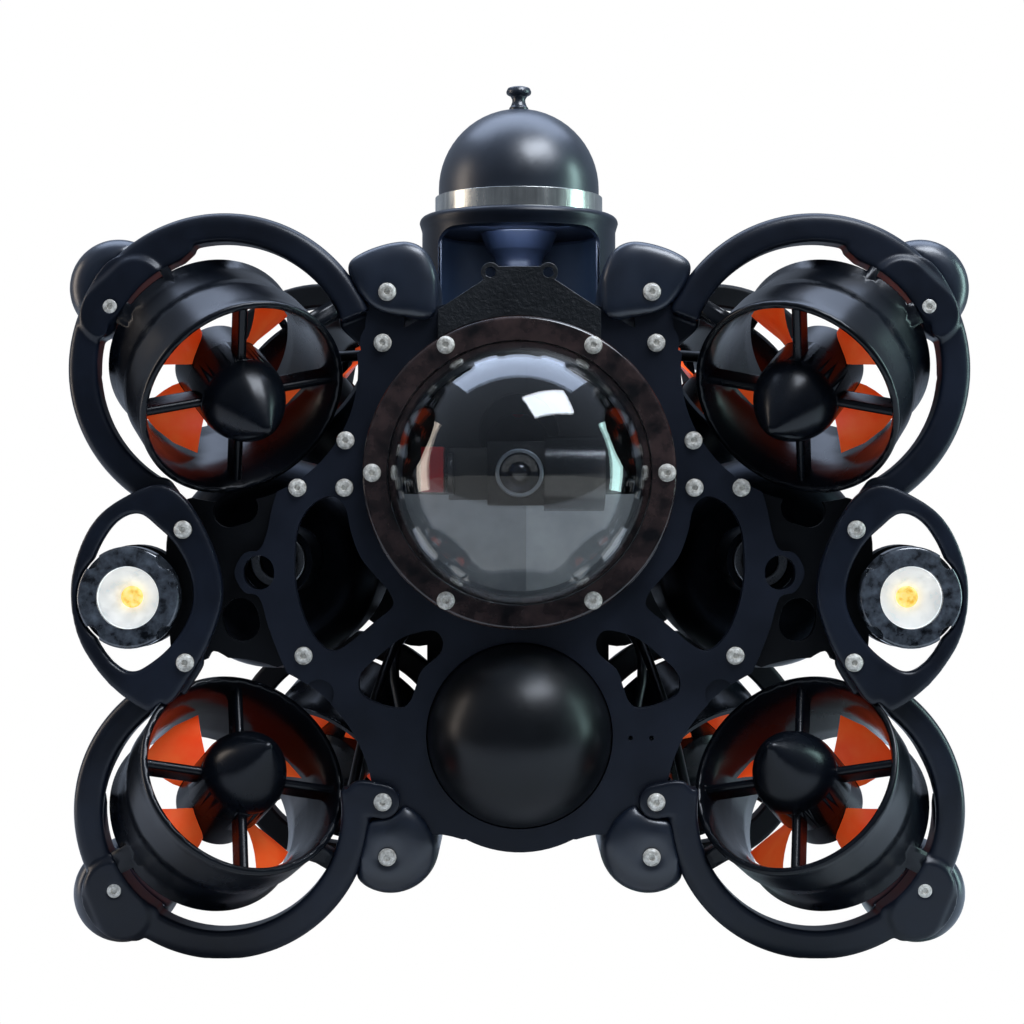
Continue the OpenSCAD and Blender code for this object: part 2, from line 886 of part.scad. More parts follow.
module sonar_shroud() {
    window_top = mast_top - platform_t - 1;
    color(satin_black)
        difference() {
            union() {
                upright(0)
                    rotate_extrude($fn = 96)
                        polygon(concat([[mast_r - 1.5 - leg_wall, mast_base_z], [mast_r - 1.5, mast_base_z],
                                        [mast_r - 1.5, mast_top - platform_t]],
                                       arc([mast_r - 4, mast_top - 4], 4, 0, 90, 5),
                                       [[0, mast_top], [0, mast_top - platform_t],
                                        [mast_r - 1.5 - leg_wall, mast_top - platform_t]]));
                upright(mast_base_z - 14)
                    cylinder(r = mast_r - 1.5, h = 18);
            }
            // the saddle that sits on the main tube
            rod(0, tube_z, mast_d - 80, 160, tube_r);
            // front window with round upper corners
            translate([0, y_front + mast_d - mast_r - 5, 0])
                rotate([-90, 0, 0])
                    linear_extrude(height = mast_r)
                        mirror([0, 1]) {
                            translate([-mast_r + leg_wall + 3, mast_base_z + 4])
                                square([2 * (mast_r - leg_wall - 3), window_top - mast_base_z - 14]);
                            bar([-mast_r + leg_wall + 13, window_top - 10],
                                [mast_r - leg_wall - 13, window_top - 10], 10);
                        }
            // two slots in the rear wall
            for (s = [-1, 1])
                translate([s * 39 - 1, y_front + mast_d, mast_base_z + 10])
                    cube([2, mast_r + 5, mast_top - platform_t - mast_base_z - 22]);
            upright(mast_top - 40)
                cylinder(r = 9 + run, h = 50);
        }
}

module sonar_stem() {
    stem_r = 13.5;
    flare_z = mast_top - platform_t - 18;
    color(matt_black)
        difference() {
            upright(0)
                rotate_extrude()
                    polygon(concat([[0, mast_base_z + 4], [stem_r + 4, mast_base_z + 4],
                                    [stem_r, mast_base_z + 12], [stem_r, flare_z]],
                                   arc([stem_r + 10, flare_z], 10, 180, 125, 4),
                                   [[stem_r + 9, mast_top - platform_t], [9, mast_top - platform_t],
                                    [9, mast_top], [0, mast_top]]));
            upright(mast_top - 15)
                cylinder(r = turret_r + run, h = 20);
        }
}

module sonar_band() {
    color(steel)
        difference() {
            union() {
                upright(mast_top)
                    rotate_extrude($fn = 96)
                        polygon([[boot_r + 0.2, 0], [band_r, 0], [band_r, band_h], [boot_r + 0.2, band_h]]);
                // worm housing at the back
                translate([-12, y_front + mast_d + boot_r + 0.6, mast_top + 1])
                    cube([24, 9, band_h - 2]);
            }
            translate([-20, y_front + mast_d + band_r + 4.5, mast_top + band_h / 2])
                rotate([0, 90, 0])
                    cylinder(r = 2.2, h = 12);
        }
}

boot_wall = 3;
boot_centre = mast_top + band_h + 5;
plug_r = 3.5;
plug_collar_r = 5.5;
plug_seat = 0.6;

module sonar_boot() {
    color(satin_black)
        difference() {
            upright(0)
                rotate_extrude($fn = 96)
                    polygon(concat([[boot_r - boot_wall, mast_top], [boot_r, mast_top]],
                                   arc([0, boot_centre], boot_r, 0, 90, 16),
                                   arc([0, boot_centre], boot_r - boot_wall, 90, 0, 16)));
            upright(boot_centre)
                cylinder(r = plug_r, h = boot_r + 5);
            // the flat that the plug's collar seats on
            upright(boot_centre + boot_r - plug_seat)
                cylinder(r = plug_collar_r + slip, h = 5);
        }
}

module sonar_plug() {
    top = boot_centre + boot_r;
    color(satin_black)
        upright(0)
            rotate_extrude()
                polygon([[0, top - boot_wall - 1], [plug_r, top - boot_wall - 1], [plug_r, top - plug_seat],
                         [plug_collar_r, top - plug_seat], [plug_collar_r, top + 1], [4.6, top + 2.2],
                         [3.8, top + 4.5], [3.8, top + 6], [4.8, top + 7.8], [7, top + 9],
                         [7.2, top + 10.4], [6.4, top + 12.4], [4.6, top + 13], [0, top + 13]]);
}

module sonar_transducer() {
    color(steel)
        union() {
            upright(mast_top + 1)
                cylinder(r = 7, h = 8);
            upright(mast_top - 14)
                cylinder(r = turret_r, h = 16);
            translate([-16, y_front + mast_d - 9, mast_top + 9])
                cube([32, 18, 34]);
            upright(0)
                translate([0, -9 - 3, mast_top + 26])
                    rotate([-90, 0, 0])
                        cylinder(r = 13, h = 4);
        }
}

// ---- lamps ---------------------------------------------------------------

lamp_front_d = -guard_lip - 10;
lamp_back_d = lamp_front_d + lamp_len;
lens_seat_r = bezel_r - 8.3;

module lamp_housings() {
    color(gloss_black)
        both_sides()
            difference() {
                turn(lamp_x, lamp_z)
                    polygon(concat([[0, lamp_front_d]],
                                   arc([bezel_r - 2, lamp_front_d + 2], 2, -90, 0, 4),
                                   [[bezel_r, lamp_front_d + 11], [barrel_r, lamp_front_d + 13],
                                    [barrel_r, lamp_back_d - 4], [barrel_r - 4, lamp_back_d],
                                    [7, lamp_back_d], [6, lamp_back_d + 7], [0, lamp_back_d + 7]]));
                rod(lamp_x, lamp_z, lamp_front_d - 1, 20, lens_seat_r - 2);
                rod(lamp_x, lamp_z, lamp_front_d + 3, 17, lens_seat_r);
                // grip notches round the bezel
                for (a = [45 : 90 : 315])
                    rod(lamp_x + (bezel_r + 2) * cos(a), lamp_z + (bezel_r + 2) * sin(a),
                        lamp_front_d - 1, 10, 5.5);
            }
}

module lamp_windows() {
    color(clear, 0.4)
        both_sides()
            rod(lamp_x, lamp_z, lamp_front_d + 3, 2, lens_seat_r - 0.05);
}

module lamp_reflectors() {
    back = lamp_front_d + 20;
    color(white)
        both_sides()
            turn(lamp_x, lamp_z)
                polygon([[lens_seat_r - 0.05, lamp_front_d + 5], [lens_seat_r - 0.05, back], [0, back],
                         [0, back - 5], [6.5, back - 5], [10, back - 9],
                         [lens_seat_r - 2.5, lamp_front_d + 5]]);
}

module lamp_emitters() {
    back = lamp_front_d + 15;
    color(amber)
        both_sides()
            turn(lamp_x, lamp_z)
                polygon([[0, back], [5.7, back], [5.7, back - 1.5], [4, back - 3.2], [0, back - 4]]);
}

// ---- thrusters -----------------------------------------------------------

// Everything of a thruster is drawn about its own axis, +Z towards its nose
module along_thruster() {
    rotate([0, thrust_roll, 0])
        rotate([0, 0, thrust_toe])
            rotate([90, 0, 0])
                children();
}

// A corner: sx -1 left, +1 right; sy -1 front, +1 rear; sz +1 upper, -1 lower.
// Its children are drawn for the front upper left corner about the duct's centre.
function duct_xz(sy, sz) =
    sy < 0 ? (sz > 0 ? front_upper : front_lower) : (sz > 0 ? rear_upper : rear_lower);
function ring_of(sy, sz) =
    sy < 0 ? (sz > 0 ? upper_ring : lower_ring) : (sz > 0 ? rear_rings[0] : rear_rings[1]);
function duct_d(sy) = sy < 0 ? front_duct_d : frame_len - front_duct_d;

module corner(sx, sy, sz) {
    c = duct_xz(sy, sz);
    translate([sx * c[0], y_front + duct_d(sy), c[1]])
        mirror([sx > 0 ? 1 : 0, 0, 0])
            mirror([0, sy > 0 ? 1 : 0, 0])
                mirror([0, 0, sz < 0 ? 1 : 0])
                    children();
}

corners = [for (sy = [-1, 1]) for (sz = [1, -1]) for (sx = [-1, 1]) [sx, sy, sz]];
pod_front_z = 26;
pod_back_z = 6;
shell_t = 2;
vane_t = 5;
vane_chord = 12.2;
gland_reach = 7;
gland_z = -8;

// The duct's wall (radius, z): its outside up to the front rim, then its bore back down
duct_wall = [[throat_r + 2, -duct_half], [throat_r + 5, -duct_half],
             [throat_r + 5.6, 1.5 - duct_half], [throat_r + 4, 5 - duct_half],
             [throat_r + 5, -2], [duct_r - 1.6, 0], [duct_r - 0.8, 20],
             [duct_r, duct_half - 2.5], [duct_r, duct_half - 1], [duct_r - 1, duct_half],
             [duct_r - 2.6, duct_half], [duct_r - 3.6, duct_half - 1], [throat_r + 2.4, 20],
             [throat_r + 0.6, 9], [throat_r, 0], [throat_r, -15]];
// Half way into the wall, where whatever meets the duct from outside ends
duct_core = [[0, -duct_half - 20], [throat_r + 3.5, -duct_half - 20], [throat_r + 3.5, -duct_half],
             [throat_r + 2.4, -15], [throat_r + 2.4, 0], [(throat_r + duct_r + 1.6) / 2, 20],
             [duct_r - 1.8, duct_half], [duct_r - 1.8, duct_half + 20], [0, duct_half + 20]];

// A vane from the pod's shell to the duct's wall, its round front just short of the pod's
module vane() {
    front = pod_front_z - 0.8;
    root = pod_r - shell_t * 0.6;
    translate([root, 0, 0])
        rotate([0, 90, 0])
            linear_extrude(height = throat_r + 6 - root)
                bar([-front + vane_t / 2, 0], [-front + vane_chord - vane_t / 2, 0], vane_t / 2);
}

// Struts as [from, to, half width], about the duct's centre
corner_strut = [[-30, 20], [-60, 36], 6];
inner_strut = [[38, 20], [62, 34], 4.5];
brace = [[-19, 36], [-34, 64], 2.5];

// Struts of one nozzle, each ending at the radius reach from its ring's centre
module nozzle_struts(sx, sy, sz, struts, reach) {
    ring = ring_of(sy, sz);
    intersection() {
        corner(sx, sy, sz)
            translate([0, 6 - front_duct_d, 0])
                rotate([90, 0, 0])
                    linear_extrude(height = 14)
                        for (b = struts)
                            bar(b[0], b[1], b[2]);
        rod(sx * ring[0], ring[1], sy < 0 ? -30 : frame_len - 30, 60, reach);
    }
}

module nozzle(sx, sy, sz) {
    ring = ring_of(sy, sz);
    color(satin_black) {
        corner(sx, sy, sz)
            along_thruster() {
                rotate_extrude($fn = 96)
                    polygon(duct_wall);
                rotate([0, 0, 45])
                    translate([throat_r + 1.8, 0, gland_z])
                        rotate([0, 90, 0])
                            cylinder(r = 5, h = duct_r + gland_reach - throat_r - 1.8);
            }
        // the inner strut reaches the guard's band, the outer ones its pad
        difference() {
            union() {
                nozzle_struts(sx, sy, sz, [inner_strut], ring[2] - guard_w);
                nozzle_struts(sx, sy, sz, sz > 0 ? [corner_strut, brace] : [corner_strut],
                              sy < 0 ? pad_in_r : ring[2] - guard_w);
            }
            corner(sx, sy, sz)
                along_thruster()
                    rotate_extrude($fn = 96)
                        polygon(duct_core);
        }
        corner(sx, sy, sz)
            along_thruster() {
                difference() {
                    translate([0, 0, pod_back_z])
                        cylinder(r = pod_r, h = pod_front_z - pod_back_z);
                    translate([0, 0, pod_back_z - 1])
                        cylinder(r = pod_r - shell_t, h = pod_front_z - pod_back_z - shell_t + 1);
                }
                for (a = [0 : 90 : 270])
                    rotate([0, 0, a + vane_turn])
                        vane();
            }
    }
}

// Turn that sets the vanes upright and level when seen from ahead
vane_turn = 98 - thrust_roll;

module motor_stators() {
    color(steel)
        for (c = corners)
            corner(c[0], c[1], c[2])
                along_thruster()
                    translate([0, 0, pod_back_z + 1])
                        difference() {
                            cylinder(r = pod_r - shell_t, h = pod_front_z - pod_back_z - shell_t - 1);
                            translate([0, 0, -1])
                                cylinder(r = shaft_r + run, h = pod_front_z - pod_back_z - 4);
                        }
}

module nose_cones() {
    color(satin_black)
        for (c = corners)
            corner(c[0], c[1], c[2])
                along_thruster()
                    rotate_extrude($fn = 48)
                        polygon(concat([[0, pod_front_z]],
                                       [for (t = [0 : 0.1 : 1])
                                           [max(pod_r * (1 - pow(t, 1.8)), 0), pod_front_z + nose_len * t]]));
}

hub_r = pod_r - 1;
hub_back_z = -14;
blade_r = throat_r - tip_gap;

// One section of a blade on the cylinder of radius r: leading edge first, then round
function blade_section(r, chord, pitch, thick, sweep) =
    [for (q = [[-0.5, 0], [-0.2, 0.5], [0.15, 0.45], [0.5, 0], [0.15, -0.45], [-0.2, -0.5]])
        let (s = q[0] * chord, h = q[1] * thick,
             across = s * cos(pitch) - h * sin(pitch), up = s * sin(pitch) + h * cos(pitch),
             a = sweep + across / r * 180 / PI)
        [r * cos(a), r * sin(a), up + (hub_back_z + pod_back_z) / 2]];

module blade() {
    steps = 5;
    root_r = hub_r - 1.5;
    sections = [for (i = [0 : steps])
        let (t = i / steps, r = root_r + (blade_r - root_r) * t)
        blade_section(r, 19 + 20 * pow(t, 0.8), 46 - 22 * t, 3.4 - 1.8 * t, 10 * t)];
    n = 6;
    points = [for (sec = sections) for (p = sec) p];
    sides = [for (i = [0 : steps - 1]) for (k = [0 : n - 1])
        for (f = [[i * n + k, i * n + (k + 1) % n, (i + 1) * n + k],
                  [(i + 1) * n + k, i * n + (k + 1) % n, (i + 1) * n + (k + 1) % n]]) f];
    polyhedron(points = points,
               faces = concat([[for (k = [n - 1 : -1 : 0]) k]], sides,
                              [[for (k = [0 : n - 1]) steps * n + k]]));
}

module propeller(sx, sy, sz) {
    color(orange)
        corner(sx, sy, sz)
            along_thruster()
                union() {
                    rotate_extrude($fn = 64)
                        polygon(concat([[0, pod_back_z + 14], [shaft_r, pod_back_z + 14],
                                        [shaft_r, pod_back_z - 1], [hub_r, pod_back_z - 1]],
                                       [[hub_r, hub_back_z], [hub_r - 4, hub_back_z - 4],
                                        [hub_r - 12, hub_back_z - 8], [0, hub_back_z - 9]]));
                    for (k = [0 : blade_count - 1])
                        rotate([0, 0, 360 / blade_count * k])
                            blade();
                }
}

// ---- cables --------------------------------------------------------------

function unit(v) = v / norm(v);

// A point on the open smooth curve through pts
function route_pt(pts, t) =
    let (n = len(pts), i = min(floor(t), n - 2), u = t - i,
         b = pts[i], c = pts[i + 1],
         a = i > 0 ? pts[i - 1] : 2 * b - c,
         e = i < n - 2 ? pts[i + 2] : 2 * c - b)
    0.5 * (2 * b + (c - a) * u + (2 * a - 5 * b + 4 * c - e) * u * u
           + (3 * b - a - 3 * c + e) * u * u * u);
function route(pts, steps) =
    [for (k = [0 : (len(pts) - 1) * steps]) route_pt(pts, k / steps)];
function heading(path, i) =
    unit(path[min(i + 1, len(path) - 1)] - path[max(i - 1, 0)]);
function carried(path, i, n) =
    let (t = heading(path, i), m = unit(n - (n * t) * t))
    i == len(path) - 1 ? [m] : concat([m], carried(path, i + 1, m));

module swept(pts, r, steps = 2, sides = 8) {
    path = route(pts, steps);
    t0 = heading(path, 0);
    up = abs(t0[2]) > 0.8 ? [1, 0, 0] : [0, 0, 1];
    normals = carried(path, 0, up);
    rings = [for (i = [0 : len(path) - 1])
        let (t = heading(path, i), n = normals[i], b = cross(t, n))
        [for (k = [0 : sides - 1])
            path[i] + r * (cos(360 * k / sides) * n + sin(360 * k / sides) * b)]];
    last = len(path) - 1;
    points = [for (ring = rings) for (p = ring) p];
    faces = concat([[for (k = [sides - 1 : -1 : 0]) k]],
                   [for (i = [0 : last - 1]) for (k = [0 : sides - 1])
                       for (f = [[i * sides + k, i * sides + (k + 1) % sides, (i + 1) * sides + k],
                                 [(i + 1) * sides + k, i * sides + (k + 1) % sides,
                                  (i + 1) * sides + (k + 1) % sides]]) f],
                   [[for (k = [0 : sides - 1]) last * sides + k]]);
    polyhedron(points = points, faces = [for (f = faces) [for (j = [len(f) - 1 : -1 : 0]) f[j]]]);
}

// Where a thruster's gland ends and the way it points, as [x, d, z] for the left side
function gland_local(out) =
    let (x = out * cos(45), y = out * sin(45), z = gland_z,
         u = x * toe_c + z * toe_s, back = x * toe_s - z * toe_c)
    [u * cos(thrust_roll) + y * sin(thrust_roll), back, -u * sin(thrust_roll) + y * cos(thrust_roll)];
function gland_at(sy, sz, out) =
    let (g = gland_local(out), c = duct_xz(sy, sz))
    [-c[0] + g[0], duct_d(sy) - sy * g[1], c[1] + sz * g[2]];

cap_gland_d = rear_cap_d + rear_cap_t + gland_h;
function into_port(p) = [for (out = [14, 7, 0]) [-p[0], cap_gland_d + out, p[1]]];
// Points counted from the rear frame's back face
function from_rear(pts) = [for (p = pts) [p[0], frame_len + p[1], p[2]]];
function out_of_gland(sy, sz) =
    [for (out = [0, 6, 12]) gland_at(sy, sz, duct_r + gland_reach + out)];

// Left routes as [x, d, z]; the right side mirrors them
front_upper_route = concat(out_of_gland(-1, 1),
    [[-78, 74, 320], [-66, 110, 319], [-62, 150, 319], [-52, 200, 322]],
    from_rear([[-46, -60, 326], [-41, -25, 332], [-39, 5, 334], [-37, 30, 331], [-32, 45, 318]]),
    into_port(cap_ports_half[0]));
front_lower_route = concat(out_of_gland(-1, -1),
    [[-92, 80, 84], [-88, 110, 108], [-79, 150, 140], [-71, 195, 165]],
    from_rear([[-70.5, -50, 171], [-70.5, 0, 171], [-68, 25, 176], [-60, 43, 196]]),
    into_port(cap_ports_half[1]));
rear_upper_route = concat(out_of_gland(1, 1),
    from_rear([[-58, -56, 322], [-51, -38, 334], [-51, -10, 340], [-52, 15, 339], [-58, 37, 325],
               [-60, 46, 300]]), into_port(cap_ports_half[2]));
rear_lower_route = concat(out_of_gland(1, -1),
    from_rear([[-52, -70, 66], [-62, -82, 84], [-74, -86, 112], [-78, -76, 140], [-72, -48, 156],
               [-61, -15, 163.5], [-60, 18, 165], [-48, 40, 174], [-31, 46, 190]]),
    into_port(cap_ports_half[3]));
lamp_route = concat([for (out = [7, 15]) [-lamp_x, lamp_back_d + out, lamp_z]],
    [[-208, 105, 187], [-209, 160, 186], [-206, 210, 184]],
    from_rear([[-184, -60, 180], [-150, -38, 174], [-116, -25, 188], [-104, 0, 196], [-92, 26, 202],
               [-68, 44, 222], [-38, 47, 252]]), into_port(cap_ports_half[4]));
sonar_route = concat([for (out = [-1.5, 12]) [0, mast_d + mast_r + out, mast_base_z - 4]],
    [[0, 220, 332]], from_rear([[0, -38, 337], [0, -10, 341], [0, 18, 339], [0, 42, 325]]),
    into_port(cap_ports_mid[0]));
battery_route = concat([for (out = [18, 28]) [0, frame_len + out, battery_z]],
    from_rear([[0, 43, 132], [0, 47, 165], [0, 44, 190]]), into_port(cap_ports_mid[1]));

function placed(pts) = [for (p = pts) [p[0], p[1] + y_front, p[2]]];

module thruster_cables() {
    color("#101114")
        both_sides() {
            swept(placed(front_upper_route), 3);
            swept(placed(front_lower_route), 3);
            swept(placed(rear_upper_route), 3);
            swept(placed(rear_lower_route), 3);
        }
}

module accessory_cables() {
    color("#101114") {
        both_sides()
            swept(placed(lamp_route), 2.5);
        swept(placed(sonar_route), 2.5);
        swept(placed(battery_route), 2.5);
    }
}

// ---- screws --------------------------------------------------------------

module screw(p, face_d, len) {
    difference() {
        turn(p[0], p[1])
            polygon(concat([[0, face_d + len], [screw_r, face_d + len], [screw_r, face_d],
                            [screw_head_r, face_d], [screw_head_r, face_d - 1]],
                           [[screw_head_r - 1.2, face_d - 2.4], [0, face_d - 2.8]]));
        translate([p[0], y_front + face_d - 1.2, p[1]])
            rotate([90, 0, 0])
                cylinder(r = 1.7, h = 4, $fn = 6);
    }
}

module frame_screws() {
    color(steel) {
        both_sides() {
            for (p = concat([upper_lug], plate_screws))
                screw(p, 0, guard_back);
            screw(lower_lug, -guard_lip, guard_lip + plate_t);
            for (p = [upper_tip, lower_tip])
                screw(p, -guard_lip, guard_lip + plate_t + 6);
            for (p = [corner_upper, corner_lower])
                screw(p, -guard_lip, guard_lip + guard_back + 12);
            for (p = lamp_screws)
                screw(p, -guard_lip - 9, 18);
        }
        for (a = [0 : 60 : 300])
            screw([flange_pcd_r * cos(a), tube_z + flange_pcd_r * sin(a)], -flange_t, flange_t + plate_t);
    }
}

// ---- nodes ---------------------------------------------------------------

front_plate();
rear_frame();
corner_bumpers();
upper_floats();
lower_skids();
light_guards();
side_webs();
side_canisters();
canister_ports();
main_tube();
camera_flange();
camera_dome();
accessory_tab();
rear_cap();
penetrators();
electronics_tray();
tilt_servo();
camera_cradle();
camera_body();
camera_lens();
battery_tube();
battery_dome();
battery_cap();
battery_pack();
sonar_shroud();
sonar_stem();
sonar_band();
sonar_boot();
sonar_plug();
sonar_transducer();
lamp_housings();
lamp_reflectors();
lamp_emitters();
lamp_windows();
frame_screws();
thruster_cables();
accessory_cables();
tether_inlet();
motor_stators();
nose_cones();
mirror([1, 0, 0]) guard_upper();  // guard_upper_left
guard_upper();  // guard_upper_right
mirror([1, 0, 0]) guard_lower();  // guard_lower_left
guard_lower();  // guard_lower_right
nozzle(-1, -1, 1);  // nozzle_front_upper_left
nozzle(1, -1, 1);  // nozzle_front_upper_right
nozzle(-1, -1, -1);  // nozzle_front_lower_left
nozzle(1, -1, -1);  // nozzle_front_lower_right
nozzle(-1, 1, 1);  // nozzle_rear_upper_left
nozzle(1, 1, 1);  // nozzle_rear_upper_right
nozzle(-1, 1, -1);  // nozzle_rear_lower_left
nozzle(1, 1, -1);  // nozzle_rear_lower_right
propeller(-1, -1, 1);  // propeller_front_upper_left
propeller(1, -1, 1);  // propeller_front_upper_right
propeller(-1, -1, -1);  // propeller_front_lower_left
propeller(1, -1, -1);  // propeller_front_lower_right
propeller(-1, 1, 1);  // propeller_rear_upper_left
propeller(1, 1, 1);  // propeller_rear_upper_right
propeller(-1, 1, -1);  // propeller_rear_lower_left
propeller(1, 1, -1);  // propeller_rear_lower_right
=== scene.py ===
import json
import math

import bpy
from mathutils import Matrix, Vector


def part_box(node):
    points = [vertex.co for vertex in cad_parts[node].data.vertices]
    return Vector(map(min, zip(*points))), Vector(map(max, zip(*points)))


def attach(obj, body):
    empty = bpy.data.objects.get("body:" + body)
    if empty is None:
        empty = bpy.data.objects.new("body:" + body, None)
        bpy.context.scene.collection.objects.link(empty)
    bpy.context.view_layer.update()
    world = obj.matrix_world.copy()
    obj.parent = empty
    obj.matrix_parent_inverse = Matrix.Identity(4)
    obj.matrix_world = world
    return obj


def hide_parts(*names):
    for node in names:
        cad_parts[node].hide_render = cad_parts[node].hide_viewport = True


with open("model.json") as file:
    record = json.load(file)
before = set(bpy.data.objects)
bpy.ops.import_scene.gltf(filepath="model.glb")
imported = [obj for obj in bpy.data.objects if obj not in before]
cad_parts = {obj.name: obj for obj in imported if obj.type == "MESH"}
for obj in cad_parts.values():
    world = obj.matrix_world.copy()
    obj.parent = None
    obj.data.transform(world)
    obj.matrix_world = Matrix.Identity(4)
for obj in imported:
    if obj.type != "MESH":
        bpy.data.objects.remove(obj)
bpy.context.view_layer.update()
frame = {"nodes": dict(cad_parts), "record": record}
cad = frame["nodes"]

# ---- where it is looked at from: a level camera straight ahead of the dome, a pale floor
# under the soles and a white room. The room is dimmer behind the camera, so that black
# plastic stays black where it faces the front.
eye = (-0.0039, -1.2446, 0.2327)
camera_data = bpy.data.cameras.new("front_camera")
camera_data.lens = 74.4
camera_data.sensor_width = 36
camera_data.dof.use_dof = False
front_camera = bpy.data.objects.new("front_camera", camera_data)
bpy.context.collection.objects.link(front_camera)
front_camera.location = eye
front_camera.rotation_euler = (math.radians(90), 0, 0)
bpy.context.scene.camera = front_camera
bpy.context.scene.view_settings.view_transform = "Standard"


def linear(hex_colour):
    """An sRGB hex colour as linear red, green, blue, alpha."""
    parts = [int(hex_colour[i:i + 2], 16) / 255 for i in (1, 3, 5)]
    return tuple(p / 12.92 if p <= 0.04045 else ((p + 0.055) / 1.055) ** 2.4 for p in parts) + (1,)


def add_node(tree, kind, inputs=None, **settings):
    """Adds a node to a tree with its settings; inputs are values or the sockets they come from."""
    made = tree.nodes.new(kind)
    for key, value in settings.items():
        setattr(made, key, value)
    for key, value in (inputs or {}).items():
        if isinstance(value, bpy.types.NodeSocket):
            tree.links.new(value, made.inputs[key])
        else:
            made.inputs[key].default_value = value
    return made


def bare_tree(holder):
    """The emptied node tree of a new world or material."""
    holder.use_nodes = True
    holder.node_tree.nodes.clear()
    return holder.node_tree


room = bpy.data.worlds.new("white_room")
bpy.context.scene.world = room
tree = bare_tree(room)
path = add_node(tree, "ShaderNodeLightPath")
place = add_node(tree, "ShaderNodeTexCoord")
split = add_node(tree, "ShaderNodeSeparateXYZ", {0: place.outputs["Generated"]})
# What gloss mirrors is dim at the camera's end and paler at the far end and overhead
depth = add_node(tree, "ShaderNodeMapRange", {
    "Value": split.outputs["Y"], "From Min": -0.9, "From Max": 0.35, "To Min": 0.05, "To Max": 0.3})
lifted = add_node(tree, "ShaderNodeMapRange", {
    "Value": split.outputs["Z"], "From Min": -0.3, "From Max": 0.9, "To Min": 0.0, "To Max": 0.25})
mirrored = add_node(tree, "ShaderNodeMath", {0: depth.outputs[0], 1: lifted.outputs[0]},
                    operation="ADD")
either = add_node(tree, "ShaderNodeMath",
                  {0: path.outputs["Is Glossy Ray"], 1: path.outputs["Is Transmission Ray"]},
                  operation="MAXIMUM")
lit = add_node(tree, "ShaderNodeMix", {
    "Factor": either.outputs[0], "A": 0.6, "B": mirrored.outputs[0]})
shown = add_node(tree, "ShaderNodeMix", {
    "Factor": path.outputs["Is Camera Ray"], "A": lit.outputs[0], "B": 1.0})
cool = add_node(tree, "ShaderNodeMix", {
    "Factor": path.outputs["Is Camera Ray"], "A": linear("#cfdef6"), "B": (1, 1, 1, 1)},
    data_type="RGBA")
sky = add_node(tree, "ShaderNodeBackground", {"Color": cool.outputs[2], "Strength": shown.outputs[0]})
add_node(tree, "ShaderNodeOutputWorld", {"Surface": sky.outputs[0]})

bpy.ops.mesh.primitive_plane_add(size=8, location=(0, 0, -0.0005))
floor = bpy.context.object
floor.name = "pale_floor"
pale = bpy.data.materials.new("pale_floor")
tree = bare_tree(pale)
path = add_node(tree, "ShaderNodeLightPath")
place = add_node(tree, "ShaderNodeTexCoord")
split = add_node(tree, "ShaderNodeSeparateXYZ", {0: place.outputs["Object"]})
# The pale table ends a little ahead of the vehicle, and a dark one begins
table_edge = add_node(tree, "ShaderNodeMapRange", {
    "Value": split.outputs["Y"], "From Min": -0.64, "From Max": -0.58})
table_tone = add_node(tree, "ShaderNodeMix", {
    "Factor": table_edge.outputs[0], "A": linear("#34363a"), "B": linear("#d2d4d6")},
    data_type="RGBA")
matt = add_node(tree, "ShaderNodeBsdfDiffuse", {"Color": table_tone.outputs[2]})
glow = add_node(tree, "ShaderNodeEmission", {"Color": (1, 1, 1, 1), "Strength": 1.0})
either = add_node(tree, "ShaderNodeMath",
                  {0: path.outputs["Is Camera Ray"], 1: path.outputs["Is Transmission Ray"]},
                  operation="MAXIMUM")
mixed = add_node(tree, "ShaderNodeMixShader", {
    0: either.outputs[0], 1: matt.outputs[0], 2: glow.outputs[0]})
add_node(tree, "ShaderNodeOutputMaterial", {"Surface": mixed.outputs[0]})
floor.data.materials.append(pale)

vehicle_middle = Vector((0, 0, 0.24))


def softbox(name, place, size, watts, tint="#ffffff"):
    """A square lamp at place that faces the middle of the vehicle."""
    data = bpy.data.lights.new(name, "AREA")
    data.shape = "RECTANGLE"
    data.size, data.size_y = size
    data.energy = watts
    data.color = linear(tint)[:3]
    lamp = bpy.data.objects.new(name, data)
    lamp.location = place
    lamp.rotation_euler = (vehicle_middle - Vector(place)).to_track_quat("-Z", "Y").to_euler()
    bpy.context.collection.objects.link(lamp)
    return lamp


softbox("window_light", (0.44, -0.62, 1.3), (0.72, 0.46), 17, "#eaf2ff")
softbox("ceiling_light", (0, 0.3, 1.6), (1.9, 0.9), 22, "#cfe0ff")
softbox("left_strip", (-1.3, -0.1, 0.45), (0.3, 1.1), 5.5, "#ffeedd")
softbox("right_strip", (1.3, -0.1, 0.45), (0.3, 1.1), 11, "#c8f2ee")
# A small lamp under the mast's platform lights the stem through the shroud's window
mast_light = softbox("mast_light", (0, -0.062, 0.389), (0.06, 0.02), 0.16, "#cfe0ff")
mast_light.rotation_euler = (math.radians(40), 0, 0)

# ---- frame plates: the front plate, the webs behind it that carry the lamps, and the rear frame.
# They are sheets of matt black nylon, milled to shape and bolted to both tubes. Their faces are
# dead matt, a little grey where hands and sand have rubbed them, and their edges broken by hand.
bodies = frame["record"]["behaviour"]["bodies"]
placed_on = {node: body for body, nodes in bodies.items() for node in nodes}


def pick(piece):
    """Selects one piece alone, for the operators that act on what is selected."""
    bpy.ops.object.select_all(action="DESELECT")
    piece.select_set(True)
    bpy.context.view_layer.objects.active = piece


